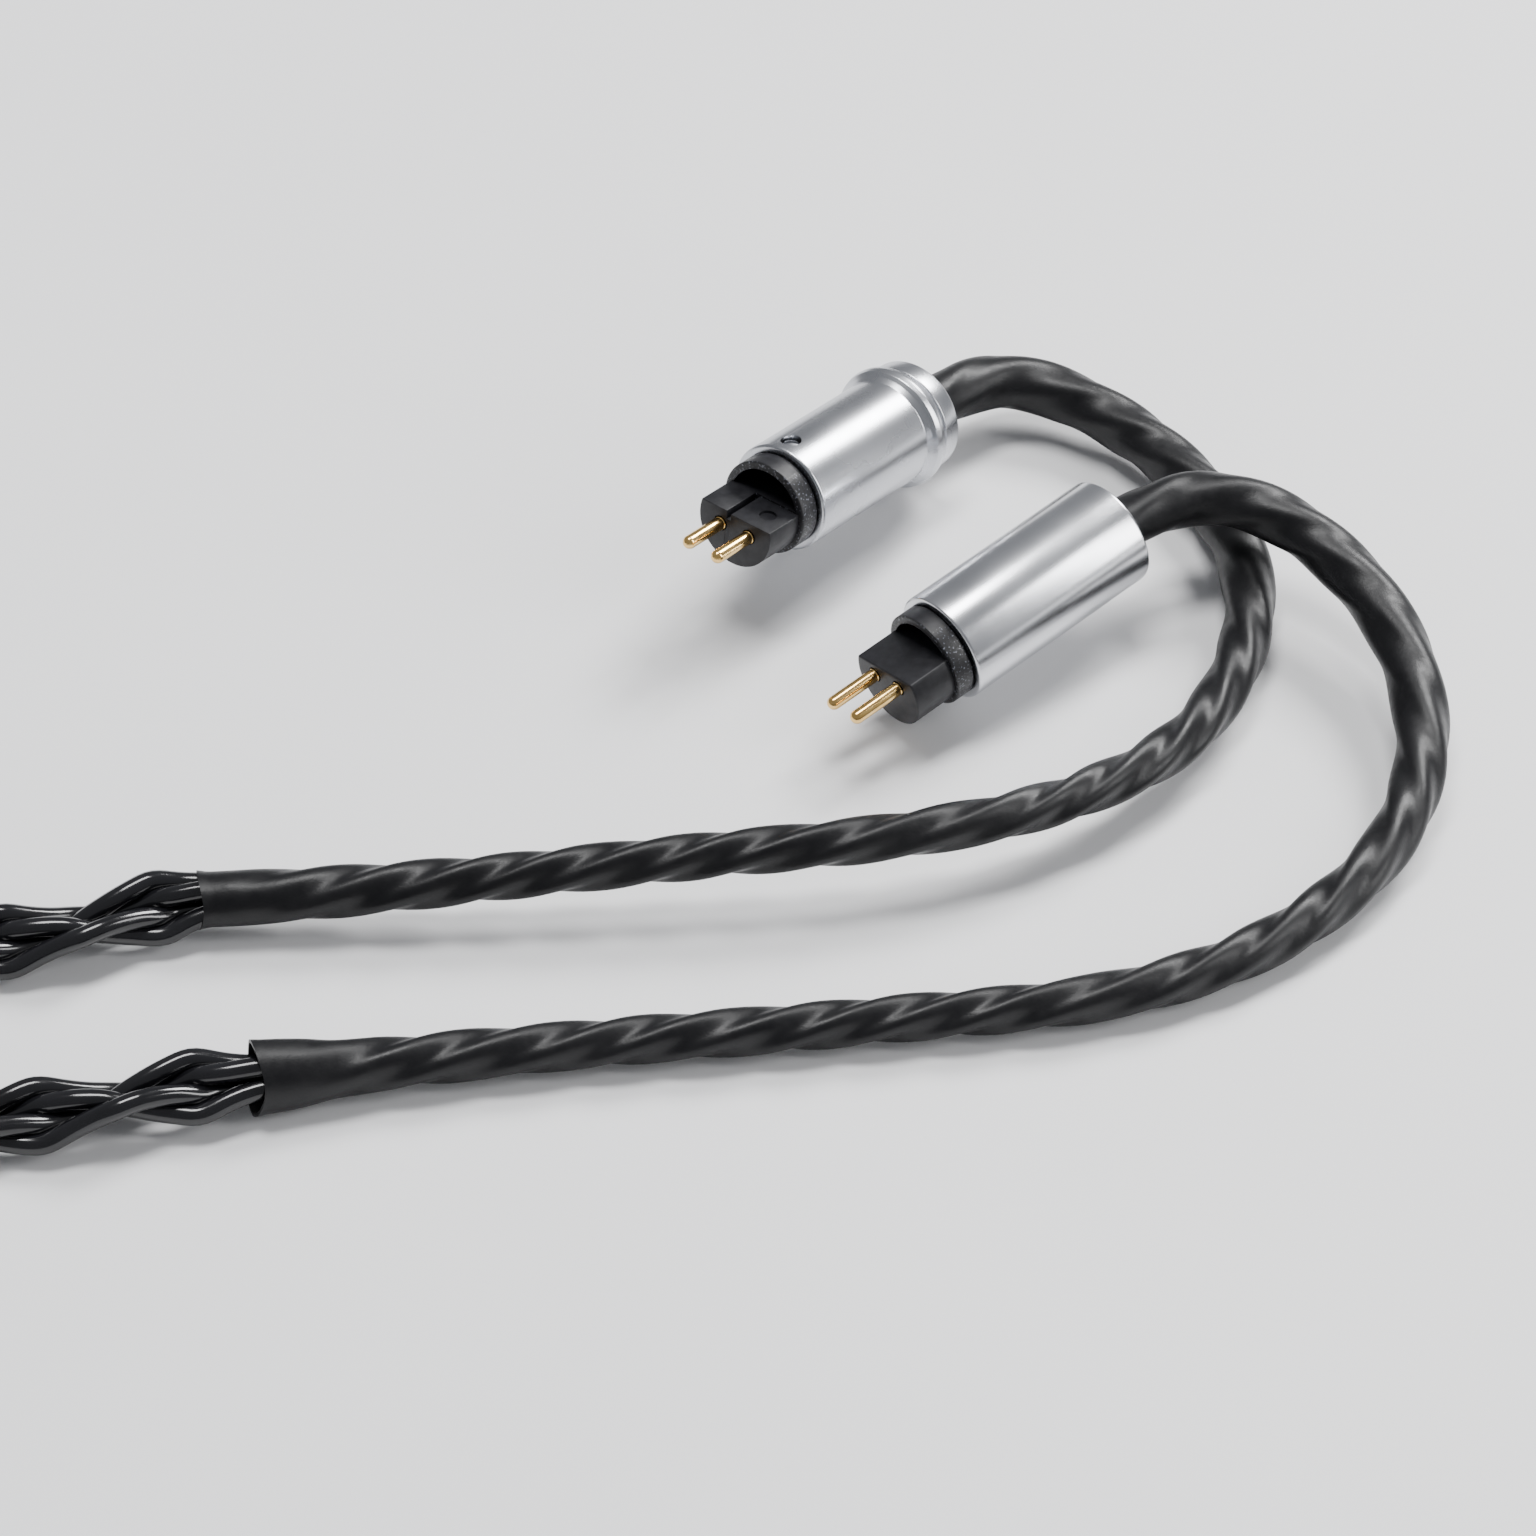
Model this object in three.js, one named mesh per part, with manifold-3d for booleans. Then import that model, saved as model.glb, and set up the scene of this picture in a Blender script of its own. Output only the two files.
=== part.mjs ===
// Detachable cable of a pair of in-ear monitors, laid out on a flat surface.
// Two two-pin ear connectors, two shaped ear-hook sleeves over twisted wires,
// two braided leads with a chin slider and a splitter, a coiled main lead and
// a 3.5 mm three-pole plug. Millimetres, +Z up, the surface it lies on is Z = 0.
import * as THREE from 'three';
import { mergeVertices } from 'three/addons/utils/BufferGeometryUtils.js';
import Module from 'manifold-3d';

const wasm = await Module();
wasm.setup();

// ---------------------------------------------------------------- dimensions
const BARREL_R = 3.2;            // both connector barrels
const BARREL_BORE_R = 2.65;
const BARREL_REAR_WALL = 1.0;
const BARREL_REAR_HOLE_R = 1.85;
const BEAD_R = 3.7;              // rounded bead on the left barrel
const END_RING_R = 3.35;         // plain ring behind the bead
const RIM_CHAMFER = 0.15;
const CORE_R = 2.45;             // insulator inside the bore
const CORE_FLANGE_R = 2.8;       // insulator ring standing out of the barrel
const CORE_BACK = 5.0;           // how far the insulator reaches into the barrel
const CORE_RECESS_R = 2.35;
const TONGUE_R = 2.5;
const PIN_R = 0.39;              // 0.78 mm contact pins
const PIN_PITCH = 2.0;
const PIN_BORE_R = 0.6;
const PIN_TAIL_R = 0.55;
const PIN_TAIL_BACK = 7.0;
const SET_SCREW_R = 0.45;
const SET_SCREW_HOLE_R = 0.6;
const SET_SCREW_BACK = 1.15;     // from the front rim
const SET_SCREW_ANGLE = 97;      // degrees round the barrel from the pin row
const SLEEVE_R = 1.45;           // shrink sleeve of the ear hook
const SLEEVE_BORE_R = 1.15;
const BUNDLE_R = 0.85;           // wires inside the sleeve
const SLEEVE_IN_BARREL = 4.0;
const BUNDLE_IN_BARREL = 5.4;
const LEAD_R = 1.8;              // four-wire braid
const LEAD_SPACING = 4.5;
const MAIN_R = 2.2;              // eight-wire braid
const SPLIT_R = 4.8;
const SPLIT_BORE_R = 4.35;
const SPLIT_LENGTH = 18;
const SPLIT_CAP = 2;
const SPLIT_AXIS_Z = 4.82;
const SLIDER_LENGTH = 9;
const SLIDER_R = 3.9;            // half height of the slider's rounded section
const SLIDER_BORE_R = 2.75;
const LINER_R = 2.5;
const LINER_BORE_R = 2.15;
const LINER_LENGTH = 8;
const SLIDER_GAP = 1.5;          // between slider and splitter at rest
const COIL_R = 24.5;              // middle of the turns
const COIL_WIDE = 12;
const COIL_HIGH = 11.2;
const COIL_LOW_Z = 0.9;
const COIL_TIE_WIDTH = 8;
const COIL_TIE_ANGLE = 205;
const TIE_THICK = 0.6;
const PLUG_BARREL_R = 4.0;
const PLUG_BARREL_LENGTH = 17;
const PLUG_PIN_R = 1.75;
const PLUG_AXIS_Z = 4.1;

// left (with bead) and right (plain) connector: middle of the front rim, the
// direction the pins point, the direction from one pin to the other, the length
const LEFT = { rim: [-2.932, 12.815, 6.12], axis: [-0.61802, -0.77162, 0.1505], lateral: [0.78195, -0.62313, 0.01623], length: 12.62, ring: 1.4, shelf: 0.72, tongue: 4.0, pinHeight: -0.28, tip: 7.1, keyway: true };
const RIGHT = { rim: [5.932, 2.474, 4.12], axis: [-0.76039, -0.6387, -0.11772], lateral: [0.61171, -0.76523, 0.20057], length: 12.74, ring: 1.25, shelf: 1.05, tongue: 3.9, pinHeight: 0.3, tip: 7.25, keyway: false };

// centre lines, from the connector outwards
const HOOK_LEFT = [
  [2.4, 19.47, 4.82], [4.24, 21.76, 4.37], [6.14, 24.01, 3.91], [8.27, 26.03, 3.43], [10.95, 27.11, 2.93],
  [13.79, 26.43, 2.53], [16.31, 24.89, 2.2], [18.48, 22.87, 1.96], [20.31, 20.53, 1.78], [21.85, 17.99, 1.67],
  [22.97, 15.23, 1.62], [23.52, 12.31, 1.62], [23.56, 9.34, 1.63], [23.15, 6.39, 1.7], [22.34, 3.53, 1.86],
  [21.21, 0.79, 2.08], [19.76, -1.8, 2.34], [17.92, -4.12, 2.61], [15.74, -6.13, 2.9], [13.32, -7.83, 3.18],
  [10.72, -9.26, 3.44], [7.99, -10.42, 3.65], [5.15, -11.31, 3.8], [2.26, -12, 3.89], [-0.68, -12.48, 3.9],
  [-3.64, -12.81, 3.84], [-6.61, -13.07, 3.71], [-9.57, -13.31, 3.52], [-12.53, -13.55, 3.31],
  [-15.49, -13.77, 3.08], [-18.45, -13.97, 2.85], [-21.42, -14.14, 2.62], [-24.38, -14.29, 2.4],
  [-27.35, -14.41, 2.19], [-30.32, -14.49, 2.02], [-33.3, -14.56, 1.87],
];
const HOOK_RIGHT = [
  [12.58, 8.06, 5.15], [14.89, 9.98, 5.5], [17.3, 11.78, 5.75], [20.03, 13.05, 5.78], [23.02, 13.06, 5.58],
  [25.72, 11.79, 5.18], [27.92, 9.8, 4.64], [29.68, 7.41, 4.07], [30.97, 4.74, 3.52], [31.71, 1.85, 3.05],
  [31.95, -1.14, 2.65], [31.69, -4.13, 2.32], [30.92, -7.04, 2.05], [29.66, -9.78, 1.85], [27.97, -12.28, 1.71],
  [25.9, -14.49, 1.58], [23.58, -16.42, 1.46], [21.06, -18.08, 1.41], [18.36, -19.45, 1.42], [15.53, -20.5, 1.42],
  [12.6, -21.26, 1.42], [9.62, -21.77, 1.42], [6.61, -22.14, 1.42], [3.61, -22.48, 1.42], [0.6, -22.83, 1.42],
  [-2.4, -23.19, 1.42], [-5.41, -23.52, 1.42], [-8.42, -23.84, 1.42], [-11.42, -24.17, 1.42], [-14.43, -24.54, 1.44],
  [-17.42, -24.96, 1.49], [-20.41, -25.43, 1.57], [-23.39, -25.93, 1.64], [-26.37, -26.44, 1.71],
  [-29.35, -26.97, 1.82],
];
const LEAD_LEFT = [
  [-33.99, -14.95, 1.89], [-39.78, -16.7, 1.87], [-45.71, -17.92, 1.85], [-51.6, -19.29, 1.82],
  [-57.42, -20.94, 1.83], [-63.24, -22.56, 1.86], [-69.22, -23.36, 1.86], [-75.12, -22.08, 1.82],
  [-80.92, -20.39, 2.02], [-86.71, -18.67, 2.44], [-92.66, -17.66, 2.7], [-98.69, -17.77, 2.63],
  [-104.62, -18.88, 2.27], [-110.45, -20.48, 1.91], [-116.41, -21.34, 1.85], [-122.04, -19.4, 1.88],
  [-124.9, -14.3, 1.87], [-122.62, -8.91, 1.87], [-117.09, -6.78, 1.86], [-111.22, -8.04, 1.89],
  [-105.64, -10.36, 2.21], [-99.92, -12.27, 2.59], [-93.94, -13.09, 2.72], [-87.92, -12.69, 2.47],
  [-82.06, -11.28, 2.01], [-76.34, -9.32, 1.83], [-70.87, -6.77, 1.9], [-66.25, -2.91, 2.04], [-63.59, 2.45, 2.34],
  [-63.69, 8.42, 2.81], [-66.57, 13.64, 3.38], [-71.45, 17.08, 3.96], [-77.27, 18.56, 4.48], [-83.3, 18.84, 4.77],
  [-89.35, 18.84, 4.82], [-95.4, 18.84, 4.82], [-101.45, 18.84, 4.82], [-107.5, 18.84, 4.82], [-113.55, 18.84, 4.82],
];
const LEAD_RIGHT = [
  [-30.08, -27.16, 1.82], [-35.91, -28.48, 1.87], [-41.77, -29.66, 1.87], [-47.7, -30.39, 1.84],
  [-53.68, -30.45, 1.82], [-59.63, -29.87, 1.84], [-65.53, -28.91, 1.87], [-71.38, -27.68, 1.84],
  [-77.17, -26.2, 1.83], [-82.89, -24.48, 2.07], [-88.62, -22.83, 2.49], [-94.54, -22.06, 2.72],
  [-100.48, -22.57, 2.5], [-106.27, -23.98, 2.07], [-112.06, -25.45, 1.85], [-118.01, -25.65, 1.86],
  [-123.6, -23.67, 1.88], [-127.77, -19.47, 1.87], [-129.27, -13.76, 1.87], [-127.59, -8.1, 1.87],
  [-123.3, -4.03, 1.88], [-117.61, -2.38, 1.86], [-111.71, -3.13, 1.85], [-106.14, -5.27, 2.06],
  [-100.58, -7.43, 2.48], [-94.73, -8.56, 2.72], [-88.78, -8.28, 2.48], [-83, -6.86, 1.98], [-77.36, -4.89, 1.83],
  [-72.02, -2.22, 1.93], [-68.24, 2.28, 2.23], [-68.18, 8.08, 2.93], [-72.04, 12.42, 3.79], [-77.69, 14.1, 4.47],
  [-83.65, 14.34, 4.78], [-89.63, 14.34, 4.82], [-95.61, 14.34, 4.82], [-101.59, 14.34, 4.82],
  [-107.57, 14.34, 4.82], [-113.55, 14.34, 4.82],
];

// where the leads reach the splitter, and the middle of the coil
const SPLIT_X = -111.55, SPLIT_Y = 16.59;
const COIL_X = -165.05, COIL_Y = -7.91;
const TIE_X = -94.55, TIE_Y0 = -24.91, TIE_Y1 = -5.71, TIE_Z1 = 5.0;
const PLUG_X = -125.55, PLUG_Y = COIL_Y - COIL_R;

// ---------------------------------------------------------------- materials
const material = (color, roughness, metalness) => new THREE.MeshStandardMaterial({ color, roughness, metalness });
const ALUMINIUM = material(0xb9bcc2, 0.28, 1.0);
const STEEL = material(0x8f9298, 0.35, 1.0);
const GOLD = material(0xd8ab52, 0.25, 1.0);
const BLACK_PLASTIC = material(0x0b0b0c, 0.5, 0.0);
const BLACK_SLEEVE = material(0x101012, 0.42, 0.0);
const BLACK_WIRE = material(0x0d0d0f, 0.2, 0.0);
const RUBBER = material(0x151516, 0.8, 0.0);
const POTTING = material(0x2a2a2c, 0.6, 0.0);
const COPPER = material(0xb87745, 0.35, 1.0);
const STRAP = material(0x18181a, 0.85, 0.0);

// ---------------------------------------------------------------- helpers
const root = new THREE.Group();

// merged, outward-facing copy of a closed geometry, position only
function closed(geometry) {
  let g = geometry.index ? geometry.toNonIndexed() : geometry.clone();
  g.deleteAttribute('normal');
  g.deleteAttribute('uv');
  g = mergeVertices(g, 1e-4);
  const p = g.attributes.position.array;
  const source = Array.from(g.index.array);
  const index = [];
  for (let i = 0; i < source.length; i += 3) {
    const [a, b, c] = [source[i], source[i + 1], source[i + 2]];
    if (a !== b && b !== c && a !== c) index.push(a, b, c);
  }
  let volume = 0;
  for (let i = 0; i < index.length; i += 3) {
    const [a, b, c] = [index[i] * 3, index[i + 1] * 3, index[i + 2] * 3];
    volume += p[a] * (p[b + 1] * p[c + 2] - p[b + 2] * p[c + 1])
      - p[a + 1] * (p[b] * p[c + 2] - p[b + 2] * p[c])
      + p[a + 2] * (p[b] * p[c + 1] - p[b + 1] * p[c]);
  }
  if (volume < 0) {
    for (let i = 0; i < index.length; i += 3) [index[i + 1], index[i + 2]] = [index[i + 2], index[i + 1]];
  }
  g.setIndex(index);
  return g;
}

function solid(geometry) {
  const g = closed(geometry);
  return new wasm.Manifold(new wasm.Mesh({
    numProp: 3,
    vertProperties: new Float32Array(g.attributes.position.array),
    triVerts: new Uint32Array(g.index.array),
  }));
}

function geometryOf(body) {
  const mesh = body.getMesh();
  const g = new THREE.BufferGeometry();
  g.setAttribute('position', new THREE.BufferAttribute(new Float32Array(mesh.vertProperties), 3));
  g.setIndex(new THREE.BufferAttribute(new Uint32Array(mesh.triVerts), 1));
  return closed(g);
}

function add(parent, name, geometry, mat) {
  const mesh = new THREE.Mesh(geometry, mat);
  mesh.name = name;
  parent.add(mesh);
  return mesh;
}

// solid of revolution about +Z from [radius, z] pairs, closed on itself or on the axis
function turned(profile, segments = 24) {
  const points = profile.map(([r, z]) => new THREE.Vector2(r, z));
  if (profile[0][0] > 0) points.push(points[0].clone());
  const g = new THREE.LatheGeometry(points, segments);
  g.rotateX(Math.PI / 2);
  return closed(g);
}

const ringOf = (outer, inner, z0, z1, segments = 20) => turned([[inner, z0], [outer, z0], [outer, z1], [inner, z1]], segments);
const discOf = (r, z0, z1, segments = 20) => turned([[0, z0], [r, z0], [r, z1], [0, z1]], segments);

function boxOf(x0, x1, y0, y1, z0, z1) {
  const g = new THREE.BoxGeometry(x1 - x0, y1 - y0, z1 - z0);
  g.translate((x0 + x1) / 2, (y0 + y1) / 2, (z0 + z1) / 2);
  return g;
}

const circle = (r, sides) => {
  const shape = new THREE.Shape();
  for (let i = 0; i < sides; i++) {
    const a = (2 * Math.PI * i) / sides;
    if (i === 0) shape.moveTo(r, 0); else shape.lineTo(r * Math.cos(a), r * Math.sin(a));
  }
  shape.closePath();
  return shape;
};

const path = (points) => new THREE.CatmullRomCurve3(points.map((p) => new THREE.Vector3(...p)), false, 'centripetal');

// round bar or tube along a centre line
function swept(points, radius, sides, steps, bore = 0) {
  const shape = circle(radius, sides);
  if (bore > 0) shape.holes.push(circle(bore, sides));
  return closed(new THREE.ExtrudeGeometry(shape, { steps, bevelEnabled: false, extrudePath: path(points) }));
}

// rounded frame (a strap seen from its edge) in the XY plane, thickness along Z
function strap(x0, x1, y0, y1, wall, width, corner) {
  const outline = (target, a0, a1, b0, b1, r) => {
    const n = 4;
    const centres = [[a1 - r, b1 - r, 0], [a0 + r, b1 - r, 90], [a0 + r, b0 + r, 180], [a1 - r, b0 + r, 270]];
    const pts = [];
    for (const [cx, cy, start] of centres) {
      for (let i = 0; i <= n; i++) {
        const t = ((start + (90 * i) / n) * Math.PI) / 180;
        pts.push(new THREE.Vector2(cx + r * Math.cos(t), cy + r * Math.sin(t)));
      }
    }
    target.setFromPoints(pts);
    return target;
  };
  const shape = outline(new THREE.Shape(), x0, x1, y0, y1, corner);
  shape.holes.push(outline(new THREE.Path(), x0 + wall, x1 - wall, y0 + wall, y1 - wall, Math.max(0.2, corner - wall)));
  const g = new THREE.ExtrudeGeometry(shape, { depth: width, bevelEnabled: false, curveSegments: 4 });
  g.translate(0, 0, -width / 2);
  return closed(g);
}

// stadium outline: two half circles of radius r, centres at +-half along X
function stadium(half, r, target = new THREE.Shape()) {
  const pts = [];
  for (let i = 0; i <= 8; i++) {
    const t = -Math.PI / 2 + (Math.PI * i) / 8;
    pts.push(new THREE.Vector2(half + r * Math.cos(t), r * Math.sin(t)));
  }
  for (let i = 0; i <= 8; i++) {
    const t = Math.PI / 2 + (Math.PI * i) / 8;
    pts.push(new THREE.Vector2(-half + r * Math.cos(t), r * Math.sin(t)));
  }
  target.setFromPoints(pts);
  return target;
}

// ---------------------------------------------------------------- ear connector
// Local frame: +Z along the pins, +X from pin to pin, origin in the front rim.
function connector(side, spec) {
  const group = new THREE.Group();
  const z = new THREE.Vector3(...spec.axis).normalize();
  const x = new THREE.Vector3(...spec.lateral);
  x.addScaledVector(z, -x.dot(z)).normalize();
  const y = new THREE.Vector3().crossVectors(z, x);
  group.quaternion.setFromRotationMatrix(new THREE.Matrix4().makeBasis(x, y, z));
  group.position.set(...spec.rim);
  root.add(group);
  const L = spec.length;

  // barrel: open bore from the front, rear wall with the cable hole
  const rear = spec.keyway
    ? [[END_RING_R - 0.12, -L], [END_RING_R, -L + 0.12], [END_RING_R, -L + 1.3], [END_RING_R - 0.15, -L + 1.45],
      [BEAD_R - 0.45, -L + 1.5], [BEAD_R - 0.1, -L + 1.75], [BEAD_R, -L + 2.1], [BEAD_R - 0.1, -L + 2.45], [BEAD_R - 0.35, -L + 2.7], [BARREL_R, -L + 2.9]]
    : [[BARREL_R - RIM_CHAMFER, -L], [BARREL_R, -L + RIM_CHAMFER]];
  let barrel = turned([
    [BARREL_REAR_HOLE_R, -L], ...rear,
    [BARREL_R, -RIM_CHAMFER], [BARREL_R - RIM_CHAMFER, 0], [BARREL_BORE_R, 0],
    [BARREL_BORE_R, -L + BARREL_REAR_WALL], [BARREL_REAR_HOLE_R, -L + BARREL_REAR_WALL],
  ], 28);
  if (spec.keyway) {
    const hole = discOf(SET_SCREW_HOLE_R, 2.0, 4.0, 12);
    hole.rotateX(-Math.PI / 2);                       // along +Y
    hole.rotateZ(((SET_SCREW_ANGLE - 90) * Math.PI) / 180);
    hole.translate(0, 0, -SET_SCREW_BACK);
    barrel = geometryOf(solid(barrel).subtract(solid(hole)));
    const screw = discOf(SET_SCREW_R, 2.6, 3.0, 10);
    screw.rotateX(-Math.PI / 2);
    screw.rotateZ(((SET_SCREW_ANGLE - 90) * Math.PI) / 180);
    screw.translate(0, 0, -SET_SCREW_BACK);
    add(group, `${side}_set_screw`, closed(screw), STEEL);
  }
  add(group, `${side}_barrel`, barrel, ALUMINIUM);

  // insulator: stepped cylinder, raised ring with a recess above the flat tongue
  let core = solid(turned([
    [0, -CORE_BACK], [CORE_R, -CORE_BACK], [CORE_R, 0.15], [CORE_FLANGE_R, 0.15],
    [CORE_FLANGE_R, spec.ring], [0, spec.ring]], 24));
  const half = Math.sqrt(TONGUE_R ** 2 - spec.shelf ** 2);
  const tongueOutline = [];
  const start = Math.asin(spec.shelf / TONGUE_R);
  for (let i = 0; i <= 14; i++) {
    const t = Math.PI - start + ((Math.PI + 2 * start) * i) / 14;
    tongueOutline.push(new THREE.Vector2(TONGUE_R * Math.cos(t), TONGUE_R * Math.sin(t)));
  }
  const tongue = new THREE.ExtrudeGeometry(new THREE.Shape(tongueOutline), { depth: spec.tongue, bevelEnabled: false });
  core = core.add(solid(tongue));
  const recess = solid(discOf(CORE_RECESS_R, -1.0, spec.ring + 1, 20))
    .intersect(solid(boxOf(-4, 4, spec.shelf, 4, -2, spec.ring + 2)));
  core = core.subtract(recess);
  for (const s of [-1, 1]) {
    const bore = discOf(PIN_BORE_R, -CORE_BACK - 1, spec.tongue + 1, 12);
    bore.translate((s * PIN_PITCH) / 2, spec.pinHeight, 0);
    core = core.subtract(solid(bore));
  }
  if (spec.keyway) {
    core = core.subtract(solid(boxOf(-0.75, -0.45, spec.shelf - 0.55, spec.shelf + 1, 0.3, spec.tongue + 1)));
    const dimple = discOf(0.5, 0, 1, 10);
    dimple.rotateX(-Math.PI / 2);
    dimple.translate(1.2, spec.shelf - 0.25, 2.6);
    core = core.subtract(solid(dimple));
  }
  add(group, `${side}_insulator`, geometryOf(core), BLACK_PLASTIC);

  // pins with rounded tips and a solder tail behind the insulator
  for (const [n, s] of [[1, -1], [2, 1]]) {
    const tip = [];
    for (let i = 0; i <= 3; i++) {
      const t = (Math.PI / 2) * (i / 3);
      tip.push([PIN_R * Math.cos(t), spec.tip - PIN_R + PIN_R * Math.sin(t)]);
    }
    tip[3][0] = 0;
    const pin = turned([[0, -PIN_TAIL_BACK], [PIN_TAIL_R, -PIN_TAIL_BACK], [PIN_TAIL_R, -CORE_BACK - 0.3],
      [PIN_R, -CORE_BACK - 0.15], ...tip], 12);
    pin.translate((s * PIN_PITCH) / 2, spec.pinHeight, 0);
    add(group, `${side}_pin_${n}`, closed(pin), GOLD);
  }

  // potting round the solder joints, and the rubber bush behind the rear wall
  add(group, `${side}_potting`, ringOf(BARREL_BORE_R - 0.2, 1.95, -L + SLEEVE_IN_BARREL + 0.2, -CORE_BACK - 0.3), POTTING);
  add(group, `${side}_cable_bush`, ringOf(BARREL_BORE_R - 0.2, SLEEVE_R + 0.3, -L + BARREL_REAR_WALL + 0.2, -L + 3.4), RUBBER);
}
connector('left', LEFT);
connector('right', RIGHT);

// ---------------------------------------------------------------- ear hooks
for (const [side, line, spec] of [['left', HOOK_LEFT, LEFT], ['right', HOOK_RIGHT, RIGHT]]) {
  add(root, `${side}_hook_sleeve`, swept(line, SLEEVE_R, 8, 34, SLEEVE_BORE_R), BLACK_SLEEVE);
  // the wires start a little deeper in the barrel and end inside the sleeve
  const a = new THREE.Vector3(...spec.axis).normalize();
  const first = new THREE.Vector3(...spec.rim).addScaledVector(a, -(spec.length - BUNDLE_IN_BARREL));
  const n = line.length;
  const last = line[n - 1].map((v, k) => v + (line[n - 2][k] - v) * 0.25);
  add(root, `${side}_hook_wires`, swept([[first.x, first.y, first.z], ...line.slice(0, n - 1), last], BUNDLE_R, 8, 32), COPPER);
}

// ---------------------------------------------------------------- leads
add(root, 'left_lead', swept(LEAD_LEFT, LEAD_R, 8, 46), BLACK_WIRE);
add(root, 'right_lead', swept(LEAD_RIGHT, LEAD_R, 8, 46), BLACK_WIRE);

// strap that holds the folded leads together
const leadTie = strap(TIE_Y0, TIE_Y1, 0.02, TIE_Z1 + 0.4, TIE_THICK - 0.1, 6, 1.6);
leadTie.rotateX(Math.PI / 2);
leadTie.rotateZ(Math.PI / 2);
leadTie.translate(TIE_X, 0, 0);
add(root, 'lead_tie', closed(leadTie), STRAP);

// ---------------------------------------------------------------- slider and splitter
// Local frame: +Z along -X of the whole, away from the ears.
const trunk = new THREE.Group();
trunk.quaternion.setFromRotationMatrix(new THREE.Matrix4().makeBasis(
  new THREE.Vector3(0, 1, 0), new THREE.Vector3(0, 0, -1), new THREE.Vector3(-1, 0, 0)));
trunk.position.set(SPLIT_X, SPLIT_Y, SPLIT_AXIS_Z);
root.add(trunk);

function stadiumTube(outer, inner, z0, z1) {
  const shape = stadium(LEAD_SPACING / 2, outer);
  shape.holes.push(stadium(LEAD_SPACING / 2, inner, new THREE.Path()));
  const g = new THREE.ExtrudeGeometry(shape, { depth: z1 - z0, bevelEnabled: false });
  g.translate(0, 0, z0);
  return closed(g);
}
const sliderEnd = -SLIDER_GAP;
add(trunk, 'chin_slider', stadiumTube(SLIDER_R, SLIDER_BORE_R, sliderEnd - SLIDER_LENGTH, sliderEnd), ALUMINIUM);
add(trunk, 'slider_liner', stadiumTube(LINER_R, LINER_BORE_R, sliderEnd - (SLIDER_LENGTH + LINER_LENGTH) / 2, sliderEnd - (SLIDER_LENGTH - LINER_LENGTH) / 2), RUBBER);

let frontCap = solid(turned([[0, 0], [SPLIT_R - 0.4, 0], [SPLIT_R, 0.4], [SPLIT_R, SPLIT_CAP], [0, SPLIT_CAP]], 24));
for (const s of [-1, 1]) {
  const hole = discOf(LEAD_R + 0.25, -1, SPLIT_CAP + 1, 14);
  hole.translate((s * LEAD_SPACING) / 2, 0, 0);
  frontCap = frontCap.subtract(solid(hole));
}
add(trunk, 'splitter_front_cap', geometryOf(frontCap), ALUMINIUM);
const s0 = SPLIT_CAP + 0.2;
const s1 = s0 + SPLIT_LENGTH;
add(trunk, 'splitter_barrel', turned([[SPLIT_BORE_R, s0], [SPLIT_R, s0], [SPLIT_R, s1], [SPLIT_BORE_R, s1]], 24), ALUMINIUM);
add(trunk, 'splitter_potting', discOf(SPLIT_BORE_R - 0.25, s0 + 3.2, s1 - 4.5, 20), POTTING);
add(trunk, 'splitter_rear_cap', turned([[MAIN_R + 0.3, s1 + 0.2], [SPLIT_R, s1 + 0.2], [SPLIT_R, s1 + 1.8], [SPLIT_R - 0.4, s1 + 2.2], [MAIN_R + 0.3, s1 + 2.2]], 24), ALUMINIUM);
add(trunk, 'splitter_bush', turned([[MAIN_R + 0.3, s1 + 2.5], [3.9, s1 + 2.5], [3.4, s1 + 7.5], [MAIN_R + 0.3, s1 + 7.5]], 20), RUBBER);

// ---------------------------------------------------------------- main lead
const startX = SPLIT_X - s1 + 4.0;
const coilInX = COIL_X + Math.sqrt((COIL_R + COIL_WIDE / 2) ** 2 - (COIL_R - MAIN_R) ** 2) + 0.4;
add(root, 'main_lead_start', swept([
  [startX, SPLIT_Y, SPLIT_AXIS_Z], [startX - 5, SPLIT_Y, SPLIT_AXIS_Z], [SPLIT_X - s1 - 8, SPLIT_Y, SPLIT_AXIS_Z],
  [coilInX, SPLIT_Y, SPLIT_AXIS_Z]], MAIN_R, 8, 7), BLACK_WIRE);
const low = COIL_LOW_Z, high = COIL_LOW_Z + COIL_HIGH, c = 2.2;
const r0 = COIL_R - COIL_WIDE / 2, r1 = COIL_R + COIL_WIDE / 2;
const coil = turned([[r0 + c, low], [r1 - c, low], [r1, low + c], [r1, high - c], [r1 - c, high], [r0 + c, high], [r0, high - c], [r0, low + c]], 36);
coil.translate(COIL_X, COIL_Y, 0);
add(root, 'main_coil', closed(coil), BLACK_WIRE);
add(root, 'main_lead_end', swept([
  [coilInX, PLUG_Y, PLUG_AXIS_Z], [coilInX + 4, PLUG_Y, PLUG_AXIS_Z], [PLUG_X - 12, PLUG_Y, PLUG_AXIS_Z],
  [PLUG_X + 3, PLUG_Y, PLUG_AXIS_Z]], MAIN_R, 8, 7), BLACK_WIRE);

// strap round the coil
const coilTie = strap(COIL_R - COIL_WIDE / 2 - 1.4, COIL_R + COIL_WIDE / 2 + 1.0, 0.02, high + 0.9, TIE_THICK, COIL_TIE_WIDTH, 2.2);
coilTie.rotateX(Math.PI / 2);
coilTie.rotateZ((COIL_TIE_ANGLE * Math.PI) / 180);
coilTie.translate(COIL_X, COIL_Y, 0);
add(root, 'coil_tie', closed(coilTie), STRAP);

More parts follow.
